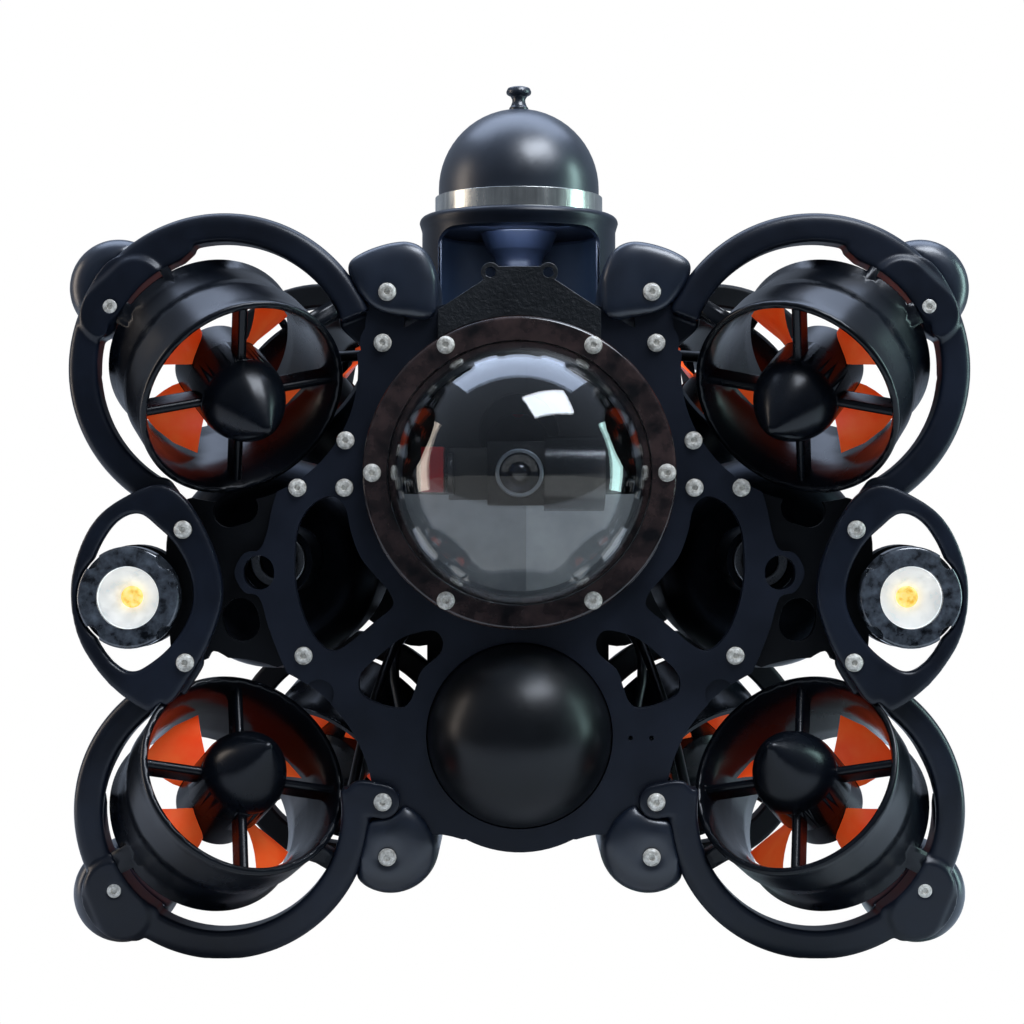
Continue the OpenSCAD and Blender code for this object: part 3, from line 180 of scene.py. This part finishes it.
def copy_of(node, name):
    """A CAD node's solid as a piece of its own, its loose triangles merged into whole faces."""
    piece = cad[node].copy()
    piece.data = cad[node].data.copy()
    piece.parent = None
    for key in list(piece.keys()):
        del piece[key]
    piece.name = name
    bpy.context.collection.objects.link(piece)
    pick(piece)
    bpy.ops.object.mode_set(mode="EDIT")
    bpy.ops.mesh.select_all(action="SELECT")
    bpy.ops.mesh.remove_doubles(threshold=0.00001)
    bpy.ops.object.mode_set(mode="OBJECT")
    return piece


def apply_all(piece):
    """Applies a piece's modifiers in their order."""
    pick(piece)
    for modifier in list(piece.modifiers):
        bpy.ops.object.modifier_apply(modifier=modifier.name)


def finish_piece(piece, material, node, smooth=35):
    """Dresses a piece, smooths its curved faces and lets it stand for its CAD node."""
    pick(piece)
    bpy.ops.object.shade_smooth_by_angle(angle=math.radians(smooth))
    flat = piece.modifiers.new("flat_faces_first", "WEIGHTED_NORMAL")
    flat.weight = 90
    flat.keep_sharp = True
    apply_all(piece)
    piece.data.materials.clear()
    piece.data.materials.append(material)
    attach(piece, placed_on[node])
    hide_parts(node)


def break_edges(node, material, width_mm, segments=2):
    """Copies a CAD node with each sharp edge broken by a small round."""
    piece = copy_of(node, node + "_finished")
    bpy.ops.object.mode_set(mode="EDIT")
    bpy.ops.mesh.select_all(action="SELECT")
    bpy.ops.mesh.dissolve_limited(angle_limit=math.radians(0.4))
    bpy.ops.object.mode_set(mode="OBJECT")
    edge = piece.modifiers.new("broken_edges", "BEVEL")
    edge.width = width_mm / 1000
    edge.segments = segments
    edge.limit_method = "ANGLE"
    edge.angle_limit = math.radians(40)
    apply_all(piece)
    finish_piece(piece, material, node)
    return piece


def blend_points(ramp, *points):
    """Sets a colour ramp's points: (place, hex colour)."""
    ramp.color_ramp.elements.remove(ramp.color_ramp.elements[0])
    for i, (place, colour) in enumerate(points):
        point = ramp.color_ramp.elements[0] if i == 0 else ramp.color_ramp.elements.new(place)
        point.position = place
        point.color = linear(colour)


def moulded_plastic(name, base, worn, rough, grain_mm, depth_mm, gloss_spread=0.06, reflect=0.3,
                    cloud_mm=45, glow=0.0):
    """Plastic, rubber or paint: two near shades in soft clouds, uneven gloss and a fine grain; glow,
    where given, is a painted glow of its own shade.
    """
    made = bpy.data.materials.new(name)
    tree = bare_tree(made)
    where = add_node(tree, "ShaderNodeTexCoord")
    clouds = add_node(tree, "ShaderNodeTexNoise", {
        "Vector": where.outputs["Object"], "Scale": 1000 / cloud_mm, "Detail": 4, "Roughness": 0.6})
    shade = add_node(tree, "ShaderNodeValToRGB", {"Fac": clouds.outputs[0]})
    blend_points(shade, (0.35, base), (0.75, worn))
    gloss = add_node(tree, "ShaderNodeMapRange", {
        "Value": clouds.outputs[0], "From Min": 0.3, "From Max": 0.7,
        "To Min": rough - gloss_spread, "To Max": rough + gloss_spread})
    grain = add_node(tree, "ShaderNodeTexNoise", {
        "Vector": where.outputs["Object"], "Scale": 1000 / grain_mm, "Detail": 3, "Roughness": 0.7})
    bump = add_node(tree, "ShaderNodeBump", {
        "Height": grain.outputs[0], "Strength": 0.6, "Distance": depth_mm / 1000})
    skin = add_node(tree, "ShaderNodeBsdfPrincipled", {
        "Base Color": shade.outputs[0], "Roughness": gloss.outputs[0], "Normal": bump.outputs[0],
        "Specular IOR Level": reflect, "IOR": 1.5,
        "Emission Color": shade.outputs[0], "Emission Strength": glow})
    add_node(tree, "ShaderNodeOutputMaterial", {"Surface": skin.outputs[0]})
    return made


plate_nylon = moulded_plastic("milled_black_nylon", "#0f131b", "#171c27", rough=0.42,
                              grain_mm=1.2, depth_mm=0.04, gloss_spread=0.05, reflect=0.22)
break_edges("front_plate", plate_nylon, width_mm=0.9, segments=3)
# The webs and the rear frame get a darker copy of the nylon: painted shade, because they lie deeper
# behind the plate.
web_nylon_painted_shade = moulded_plastic("milled_black_nylon_in_shade", "#050608", "#0a0d11", rough=0.46,
                            grain_mm=1.2, depth_mm=0.05, reflect=0.17)
for node in ("side_webs", "rear_frame"):
    break_edges(node, web_nylon_painted_shade, width_mm=0.7)

# ---- guards: injection-moulded glass-filled nylon rings screwed to the plate, and the ear-shaped
# guards round the lamps. The mould leaves them satin, with full rounds on every edge.
satin_nylon = moulded_plastic("moulded_satin_nylon", "#0b0f17", "#131a27", rough=0.35,
                              grain_mm=1.8, depth_mm=0.03, gloss_spread=0.05, reflect=0.32)


def raise_pad(piece, start, end, radius, lift):
    """Raises the front face within radius of the line from start to end, as (x, z); all in mm."""
    slope = 3
    raised_to = 0.002
    level_from = 0.006
    front = min(vertex.co.y for vertex in piece.data.vertices)
    run = Vector(end) - Vector(start)
    for vertex in piece.data.vertices:
        at = Vector((abs(vertex.co.x), vertex.co.z)) * 1000 - Vector(start)
        along = min(max(at.dot(run) / run.length_squared, 0), 1)
        inside = min(max((radius - (at - run * along).length) / slope + 0.5, 0), 1)
        behind = vertex.co.y - front
        depth = min(max((level_from - behind) / (level_from - raised_to), 0), 1)
        vertex.co.y -= lift / 1000 * inside * depth


def cast_soft(node, material, voxel_mm, passes, swell_mm=0.0, pad=None):
    """Copies a CAD node as a casting: its edges and inner corners run together, then it swells."""
    piece = copy_of(node, node + "_cast")
    skin = piece.modifiers.new("skin", "REMESH")
    skin.mode = "VOXEL"
    skin.voxel_size = voxel_mm / 1000
    flow = piece.modifiers.new("flow", "SMOOTH")
    flow.factor = 0.5
    flow.iterations = passes
    if swell_mm:
        swell = piece.modifiers.new("swell", "DISPLACE")
        swell.strength = swell_mm / 1000
        swell.mid_level = 0
    apply_all(piece)
    if pad:
        raise_pad(piece, **pad)
    finish_piece(piece, material, node, 180)
    return piece


upper_pad = {"start": (199, 350), "end": (214, 336), "radius": 15, "lift": 2.4}
lower_pad = {"start": (212, 38), "end": (206, 24), "radius": 14, "lift": 2.4}
for side in ("left", "right"):
    cast_soft("guard_upper_" + side, satin_nylon, voxel_mm=1.0, passes=4, pad=upper_pad)
    cast_soft("guard_lower_" + side, satin_nylon, voxel_mm=1.0, passes=4, pad=lower_pad)
cast_soft("light_guards", satin_nylon, voxel_mm=1.1, passes=14)

# ---- bumpers, floats and skids: black polyurethane cast in open moulds, each clamped over a lug
# with one screw. They come out soft-edged, with hollows that run into each other.
cast_urethane = moulded_plastic("cast_black_polyurethane", "#0e141e", "#1a2433", rough=0.33,
                                grain_mm=2.4, depth_mm=0.03, gloss_spread=0.05, reflect=0.7)
cast_soft("corner_bumpers", cast_urethane, voxel_mm=1.1, passes=30, swell_mm=0.2)
for node in ("upper_floats", "lower_skids"):
    cast_soft(node, cast_urethane, voxel_mm=1.4, passes=110, swell_mm=0.9)


# ---- pressure housings: the main tube, the battery tube and two buoyancy canisters of black
# anodised aluminium, with their caps, and a steel ring round each canister's port, darkened as
# painted shade. All are turned on a lathe, so their gloss runs round in fine lines. The main tube's
# bore is painted grey.
def metal(name, light, dark, rough, line_mm, along):
    """Bare or anodised metal: fine lines of polish along one axis, with faint clouds."""
    cloud_mm = 18
    made = bpy.data.materials.new(name)
    tree = bare_tree(made)
    where = add_node(tree, "ShaderNodeTexCoord")
    stretched = add_node(tree, "ShaderNodeMapping", {"Vector": where.outputs["Object"], "Scale": along})
    lines = add_node(tree, "ShaderNodeTexNoise", {
        "Vector": stretched.outputs[0], "Scale": 1000 / line_mm, "Detail": 3, "Roughness": 0.7})
    clouds = add_node(tree, "ShaderNodeTexNoise", {
        "Vector": where.outputs["Object"], "Scale": 1000 / cloud_mm, "Detail": 3})
    both = add_node(tree, "ShaderNodeMix", {
        "Factor": 0.35, "A": lines.outputs[0], "B": clouds.outputs[0]})
    shade = add_node(tree, "ShaderNodeValToRGB", {"Fac": both.outputs[0]})
    blend_points(shade, (0.3, dark), (0.7, light))
    gloss = add_node(tree, "ShaderNodeMapRange", {
        "Value": both.outputs[0], "From Min": 0.3, "From Max": 0.7,
        "To Min": rough - 0.06, "To Max": rough + 0.08})
    bump = add_node(tree, "ShaderNodeBump", {
        "Height": lines.outputs[0], "Strength": 0.4, "Distance": 0.00002})
    skin = add_node(tree, "ShaderNodeBsdfPrincipled", {
        "Base Color": shade.outputs[0], "Metallic": 1.0,
        "Roughness": gloss.outputs[0], "Normal": bump.outputs[0]})
    add_node(tree, "ShaderNodeOutputMaterial", {"Surface": skin.outputs[0]})
    return made


# How a finish's pattern is stretched: rings round a tube, lines along it, or lines up a band
lathe_rings = (0.05, 1, 0.05)
drawn_lines = (1, 0.05, 1)
upright_lines = (1, 1, 0.05)
black_anodised = metal("black_anodised_aluminium", "#1c1f24", "#101216", rough=0.38,
                       line_mm=0.6, along=lathe_rings)
for node in ("side_canisters", "rear_cap", "battery_tube", "battery_cap"):
    break_edges(node, black_anodised, width_mm=0.4)
tube = break_edges("main_tube", black_anodised, width_mm=0.4)
bore_paint = moulded_plastic("grey_bore_paint", "#7c838a", "#989fa6", rough=0.3,
                             grain_mm=3.0, depth_mm=0.03, gloss_spread=0.05, reflect=0.4)
tube.data.materials.append(bore_paint)
tube_low, tube_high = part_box("main_tube")
tube_axis = (tube_low.z + tube_high.z) / 2
half_wall = 0.002
wall_r = (tube_high.x - tube_low.x) / 2 - half_wall
for face in tube.data.polygons:
    if math.hypot(face.center.x, face.center.z - tube_axis) < wall_r:
        face.material_index = 1
# The port rings are darker steel: painted shade for the windows of the plate they sit behind.
port_steel_painted_shade = metal("stainless_with_painted_shade", "#8b8c8c", "#5c5d5f", rough=0.3, line_mm=0.5, along=drawn_lines)
break_edges("canister_ports", port_steel_painted_shade, width_mm=0.3)

# ---- cable glands: red anodised aluminium with six flats, screwed into the rear cap, with one
# cable potted in each. Between them stands the steel inlet of the tether.
red_anodised = metal("red_anodised_aluminium", "#b3161c", "#7d0c12", rough=0.3,
                     line_mm=0.5, along=drawn_lines)
break_edges("penetrators", red_anodised, width_mm=0.5)
turned_steel = metal("turned_stainless", "#d9d9d4", "#a9aaa8", rough=0.24,
                     line_mm=0.5, along=drawn_lines)
break_edges("tether_inlet", turned_steel, width_mm=0.3)

# ---- electronics tray: a glass-epoxy board with two control boxes, held between two discs that
# slide into the main tube. The front disc faces the dome. It is painted black in its upper part and
# grey below; the grey has a faint painted glow, and its left side is a darker copy for painted shade.
tray_green = moulded_plastic("green_circuit_board", "#0a1d13", "#12301f", rough=0.4,
                             grain_mm=1.2, depth_mm=0.1)
tray = break_edges("electronics_tray", tray_green, width_mm=0.3)
# The grey paint glows a little as painted light; its darker copy on the left is painted shade.
bulkhead_grey = moulded_plastic("grey_bulkhead_paint", "#8b949c", "#a9b2b9", rough=0.35, grain_mm=3.0,
                                depth_mm=0.02, gloss_spread=0.05, reflect=0.4, cloud_mm=30, glow=0.3)
bulkhead_grey_painted_shade = moulded_plastic("grey_bulkhead_paint_in_shade", "#747c84", "#8f979e", rough=0.35,
                                     grain_mm=3.0, depth_mm=0.02, gloss_spread=0.05, reflect=0.4,
                                     cloud_mm=30, glow=0.26)
bulkhead_black = moulded_plastic("black_bulkhead_paint", "#0c0f10", "#15191a", rough=0.4,
                                 grain_mm=3.0, depth_mm=0.02, gloss_spread=0.05)
for paint in (bulkhead_grey, bulkhead_grey_painted_shade, bulkhead_black):
    tray.data.materials.append(paint)
right_slot, left_slot, upper_slot = 1, 2, 3
tray_low, tray_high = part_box("electronics_tray")
below_axis = 0.011
black_from_z = (tray_low.z + tray_high.z) / 2 - below_axis
# Left of this x the grey is the darker copy: painted shade.
painted_shade_to_x = 0.004
painted_depth = 0.0045
bpy.context.view_layer.objects.active = tray
bpy.ops.object.mode_set(mode="EDIT")
for at, across in (((0, 0, black_from_z), (0, 0, 1)), ((painted_shade_to_x, 0, 0), (1, 0, 0))):
    bpy.ops.mesh.select_all(action="SELECT")
    bpy.ops.mesh.bisect(plane_co=at, plane_no=across)
bpy.ops.object.mode_set(mode="OBJECT")
for face in tray.data.polygons:
    if face.center.y < tray_low.y + painted_depth:
        lower_slot = right_slot if face.center.x > painted_shade_to_x else left_slot
        face.material_index = upper_slot if face.center.z > black_from_z else lower_slot

# ---- camera: a painted cradle tilts it behind the dome, turned by a small servo with a red gear
# case. The camera has a gloss black case, and its lens is a turned black barrel whose front edge is
# painted light as a highlight, with a coated glass ball sunk in a cone.
servo_red = moulded_plastic("moulded_red_nylon", "#8d0f12", "#b7191a", rough=0.35,
                            grain_mm=1.0, depth_mm=0.03)
break_edges("tilt_servo", servo_red, width_mm=0.6)
bracket_black = moulded_plastic("painted_bracket", "#0d0f12", "#1a1d21", rough=0.35,
                                grain_mm=0.8, depth_mm=0.04, gloss_spread=0.05, reflect=0.7)
break_edges("camera_cradle", bracket_black, width_mm=0.4)
gloss_black = moulded_plastic("gloss_black_housing", "#050607", "#0c0e11", rough=0.2,
                              grain_mm=3, depth_mm=0.01, gloss_spread=0.04, reflect=0.9)
break_edges("camera_body", gloss_black, width_mm=0.8)


def turned(name, outline, sides=96):
    """A lathe-turned solid: a circle drawn out ring by ring up Z; outline is (radius, height) in mm."""
    least_r = 0.01
    bpy.ops.object.select_all(action="DESELECT")
    rings = [(max(r, least_r) / 1000, z / 1000) for r, z in outline]
    bpy.ops.mesh.primitive_circle_add(vertices=sides, radius=rings[0][0], location=(0, 0, rings[0][1]))
    piece = bpy.context.object
    bpy.ops.object.transform_apply(location=True)
    bpy.ops.object.mode_set(mode="EDIT")
    bpy.ops.mesh.select_all(action="SELECT")
    for (r0, z0), (r1, z1) in zip(rings, rings[1:]):
        bpy.ops.mesh.extrude_region_move(TRANSFORM_OT_translate={"value": (0, 0, z1 - z0)})
        bpy.ops.transform.resize(value=(r1 / r0, r1 / r0, 1), center_override=(0, 0, z1))
    bpy.ops.mesh.select_all(action="SELECT")
    bpy.ops.mesh.remove_doubles(threshold=0.00003)
    bpy.ops.mesh.delete_loose()
    bpy.ops.mesh.select_all(action="SELECT")
    bpy.ops.mesh.normals_make_consistent(inside=False)
    bpy.ops.object.mode_set(mode="OBJECT")
    piece.name = name
    return piece


def faced_forward(piece, x, y, z):
    """Lays a turned piece down with its top to the front, its base's centre at x, y, z."""
    pick(piece)
    piece.rotation_euler = (math.radians(90), 0, 0)
    piece.location = (x, y, z)
    bpy.ops.object.transform_apply(location=True, rotation=True, scale=True)
    return piece


def corner_round(radius, height, r, start, end, steps):
    """Points of a rounded corner of a lathe outline, about (radius, height)."""
    return [(radius + r * math.cos(math.radians(start + (end - start) * i / steps)),
             height + r * math.sin(math.radians(start + (end - start) * i / steps)))
            for i in range(steps + 1)]


lens_low, lens_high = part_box("camera_lens")
lens_r = (lens_high.x - lens_low.x) * 500
lens_h = (lens_high.y - lens_low.y) * 1000
lens_chamfer = 0.6
lens_rim = [(lens_r, 0), (lens_r, lens_h - lens_chamfer), (lens_r - lens_chamfer, lens_h),
            (lens_r - 2, lens_h)]
lens_cone = [(lens_r - 3, lens_h - 3), (6, lens_h - 4.5), (5.5, lens_h - 4.2)]
ball_r = 7.5
ball_depth = 9.4
lens_ball = corner_round(0, lens_h - ball_depth, ball_r, start=45, end=90, steps=8)
lens = turned("camera_lens_barrel", [(0, 0)] + lens_rim + lens_cone + lens_ball, 64)
faced_forward(lens, 0, lens_high.y, (lens_low.z + lens_high.z) / 2)
lens_coated = moulded_plastic("coated_black_lens", "#04060c", "#0a1020", rough=0.1,
                              grain_mm=3.0, depth_mm=0.0, gloss_spread=0.03, reflect=0.9)
finish_piece(lens, lens_coated, "camera_lens")
# The black barrel's front edge is coloured light metal: a painted highlight.
lens_edge_painted_highlight = metal("painted_highlight_lens_edge", "#b4bac2", "#7c828a", rough=0.3, line_mm=0.5, along=drawn_lines)
lens.data.materials.append(lens_edge_painted_highlight)
highlight_depth = 0.0008
for face in lens.data.polygons:
    if face.center.y < lens_low.y + highlight_depth:
        face.material_index = 1


# ---- clear dome: cast acrylic blown to a half sphere and polished, with a flat rim at its foot.
# A glossy ring clamps the rim to the main tube with six screws.
def clear_plastic(name, index, tint="#ffffff", shine=0.5):
    """Clear plastic or glass with faint handling marks."""
    mark_mm = 22
    made = bpy.data.materials.new(name)
    tree = bare_tree(made)
    where = add_node(tree, "ShaderNodeTexCoord")
    marks = add_node(tree, "ShaderNodeTexNoise", {
        "Vector": where.outputs["Object"], "Scale": 1000 / mark_mm, "Detail": 5,
        "Roughness": 0.65})
    haze = add_node(tree, "ShaderNodeMapRange", {
        "Value": marks.outputs[0], "From Min": 0.45, "From Max": 0.8, "To Min": 0.0, "To Max": 0.05})
    skin = add_node(tree, "ShaderNodeBsdfPrincipled", {
        "Base Color": linear(tint), "Roughness": haze.outputs[0], "IOR": index,
        "Transmission Weight": 1.0, "Specular IOR Level": shine})
    add_node(tree, "ShaderNodeOutputMaterial", {"Surface": skin.outputs[0]})
    return made


dome_low, dome_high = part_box("camera_dome")
dome_wall = 3
rim_width = 3
rim_step = 1
rim_fillet = 0.1
dome_rim = (dome_high.x - dome_low.x) * 500
dome_r = dome_rim - rim_width
dome_seat = (dome_high.y - dome_low.y) * 1000 - dome_r
bore_r = dome_r - dome_wall
dome_foot = [(bore_r, 0), (dome_rim, 0), (dome_rim, dome_seat + rim_step),
             (dome_r + rim_fillet, dome_seat + rim_step)]
dome_outside = corner_round(0, dome_seat, dome_r, start=0, end=90, steps=60)
dome_inside = corner_round(0, dome_seat, bore_r, start=90, end=0, steps=60)
dome = turned("clear_dome", dome_foot + dome_outside + dome_inside + [(bore_r, 0)], 192)
faced_forward(dome, 0, dome_high.y, (dome_low.z + dome_high.z) / 2)
acrylic = clear_plastic("polished_acrylic", 1.5, tint="#d8dcde", shine=0.9)
finish_piece(dome, acrylic, "camera_dome", 40)
clamp_gloss = moulded_plastic("polished_clamp_ring", "#0b0a0b", "#41312e", rough=0.14,
                              grain_mm=14, depth_mm=0.04, gloss_spread=0.08, reflect=0.6, cloud_mm=15)
break_edges("camera_flange", clamp_gloss, width_mm=0.5)

# ---- accessory tab: a block of coarse-grained nylon fixed to the plate's face above the clamp
# ring, with two eyes for a bracket's screws.
grained_nylon = moulded_plastic("grained_nylon", "#0a0c0e", "#15181b", rough=0.36,
                                grain_mm=2.4, depth_mm=0.9, reflect=0.6)
break_edges("accessory_tab", grained_nylon, width_mm=0.7)

# ---- battery: cells in blue shrink wrap, packed in their own tube. A satin black dome seats in the
# tube's front end and closes it.
cell_wrap = moulded_plastic("blue_shrink_wrap", "#1d3f7a", "#2b5497", rough=0.3,
                            grain_mm=4, depth_mm=0.05)
break_edges("battery_pack", cell_wrap, width_mm=0.5)
spun_black = moulded_plastic("spun_black_dome", "#07080a", "#0d0f12", rough=0.34,
                             grain_mm=2.0, depth_mm=0.02)
break_edges("battery_dome", spun_black, width_mm=0.5)

# ---- sonar mast: a moulded shroud over the main tube holds the stem behind its window, with a thin
# sheet rolled round behind it. A stainless band clamps the rubber boot on the stem, and the
# transducer turns under the boot.
for node in ("sonar_shroud", "sonar_stem"):
    break_edges(node, satin_nylon, width_mm=1.2, segments=3)
shroud_low, shroud_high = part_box("sonar_shroud")
shroud_y = (shroud_low.y + shroud_high.y) / 2
liner_gap = 11
liner_r = (shroud_high.x - shroud_low.x) * 500 - liner_gap
liner_drop = 0.066
liner_h = 0.055
liner_front_y = shroud_y - 0.012
bpy.ops.object.select_all(action="DESELECT")
bpy.ops.mesh.primitive_circle_add(vertices=96, radius=liner_r / 1000, location=(0, 0, 0))
liner = bpy.context.object
liner.name = "shroud_liner"
liner.location = (0, shroud_y, shroud_high.z - liner_drop)
bpy.ops.object.transform_apply(location=True)
bpy.ops.object.mode_set(mode="EDIT")
bpy.ops.mesh.select_all(action="SELECT")
bpy.ops.mesh.extrude_region_move(TRANSFORM_OT_translate={"value": (0, 0, liner_h)})
bpy.ops.mesh.select_all(action="SELECT")
bpy.ops.mesh.bisect(plane_co=(0, liner_front_y, 0), plane_no=(0, -1, 0), clear_outer=True)
bpy.ops.object.mode_set(mode="OBJECT")
sheet = liner.modifiers.new("sheet", "SOLIDIFY")
sheet.thickness = 0.0008
sheet.offset = 0
apply_all(liner)
liner_sheet = moulded_plastic("satin_liner_sheet", "#151c26", "#202a37", rough=0.33,
                              grain_mm=2.4, depth_mm=0.02, gloss_spread=0.05, reflect=0.5)
finish_piece(liner, liner_sheet, "sonar_shroud")
boot_rubber = moulded_plastic("smooth_black_rubber", "#0f151e", "#1a232f", rough=0.34,
                              grain_mm=2.4, depth_mm=0.02, gloss_spread=0.05, reflect=0.8)
for node in ("sonar_boot", "sonar_plug"):
    break_edges(node, boot_rubber, width_mm=0.5)
# Its broad upright light and dark stripes are painted reflections over the brushing.
band_steel = metal("stainless_band_brushing_and_painted_reflections", "#f0efe6", "#a3a49f", rough=0.24,
                   line_mm=9.0, along=upright_lines)
break_edges("sonar_band", band_steel, width_mm=0.3)
break_edges("sonar_transducer", turned_steel, width_mm=0.3)

# ---- lamps: smoked polycarbonate housings screwed to the webs. Each holds a white reflector cup
# with a yellow emitter at its bottom, behind a round of toughened glass.
# The pale clouds in the smoked housing's colour are painted glints.
smoked = moulded_plastic("smoked_polycarbonate", "#0a0c0f", "#565c63", rough=0.09,
                         grain_mm=6, depth_mm=0.1, gloss_spread=0.05, reflect=0.9, cloud_mm=7)
break_edges("lamp_housings", smoked, width_mm=0.8)
# The white reflector glows: painted light.
reflector_white = moulded_plastic("moulded_white_reflector", "#d4d9dc", "#f8faf9", rough=0.25,
                                  grain_mm=3, depth_mm=0.1, reflect=0.5, cloud_mm=7, glow=0.55)
break_edges("lamp_reflectors", reflector_white, width_mm=0.2)
# The yellow emitter glows: painted light.
emitter_yellow = moulded_plastic("phosphor_yellow", "#d8a92a", "#fff0a0", rough=0.4,
                                 grain_mm=1.0, depth_mm=0.1, reflect=0.4, cloud_mm=4, glow=0.9)
break_edges("lamp_emitters", emitter_yellow, width_mm=0.2)
lens_glass = clear_plastic("toughened_glass", 1.5)
glass_low, glass_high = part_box("lamp_windows")
glass_r = (glass_high.z - glass_low.z) * 500
glass_t = (glass_high.y - glass_low.y) * 1000
glass_x = glass_high.x - glass_r / 1000
for side, x in (("left", -glass_x), ("right", glass_x)):
    glass = turned("lamp_glass_" + side, [(0, 0), (glass_r, 0), (glass_r, glass_t), (0, glass_t)])
    faced_forward(glass, x, glass_high.y, (glass_low.z + glass_high.z) / 2)
    finish_piece(glass, lens_glass, "lamp_windows")

# ---- thrusters: nylon nozzles moulded in one with their vanes and motor pod. Each has a steel
# stator in its pod, a pointed nose, and an orange propeller with a black hub on the motor's shaft.
nozzle_plastic = moulded_plastic("moulded_nozzle_plastic", "#05070a", "#0a0e15", rough=0.25,
                                 grain_mm=2.4, depth_mm=0.012, gloss_spread=0.04, reflect=0.26)
# The orange blades glow a little: painted light in place of light shining through the plastic.
blade_orange = moulded_plastic("moulded_orange_polycarbonate", "#ff4a14", "#ff7438", rough=0.34,
                               grain_mm=2.0, depth_mm=0.02, gloss_spread=0.05, reflect=0.4,
                               cloud_mm=30, glow=0.24)
hub_black = moulded_plastic("moulded_black_hub", "#06080b", "#0c0f14", rough=0.3,
                            grain_mm=2.0, depth_mm=0.02)
hub_r = 0.0218
axles = {joint["child"]: joint for joint in frame["record"]["behaviour"]["joints"]}
for node in cad:
    if node.startswith("nozzle"):
        finish_piece(copy_of(node, node + "_moulded"), nozzle_plastic, node, 30)
    if node.startswith("propeller"):
        blades = break_edges(node, blade_orange, width_mm=0.4)
        blades.data.materials.append(hub_black)
        axle = axles[placed_on[node]]
        centre = Vector(axle["pos_m"])
        along = Vector(axle["axis"]).normalized()
        for face in blades.data.polygons:
            out = face.center - centre
            if (out - along * out.dot(along)).length < hub_r:
                face.material_index = 1
break_edges("motor_stators", turned_steel, width_mm=0.3)
break_edges("nose_cones", nozzle_plastic, width_mm=0.4)

# ---- cables: black polyurethane jackets, extruded round their cores, from the thrusters, the
# lamps, the mast and the battery to the glands of the rear cap. Each end is potted.
jacket = moulded_plastic("black_cable_jacket", "#0a0b0d", "#131518", rough=0.4,
                         grain_mm=1.0, depth_mm=0.05)
for node in ("thruster_cables", "accessory_cables"):
    finish_piece(copy_of(node, node + "_jackets"), jacket, node, 60)

# ---- screws: passivated stainless button heads with a hex socket, which hold the plate, guards,
# bumpers and clamp ring. Keys and salt have left them blotchy.
# The steel glows faintly: painted light.
bright_steel = moulded_plastic("passivated_stainless", "#8e8a80", "#e6e2d6", rough=0.26,
                               grain_mm=1.2, depth_mm=0.05, reflect=0.9, cloud_mm=2.5, glow=0.05)
break_edges("frame_screws", bright_steel, width_mm=0.35)
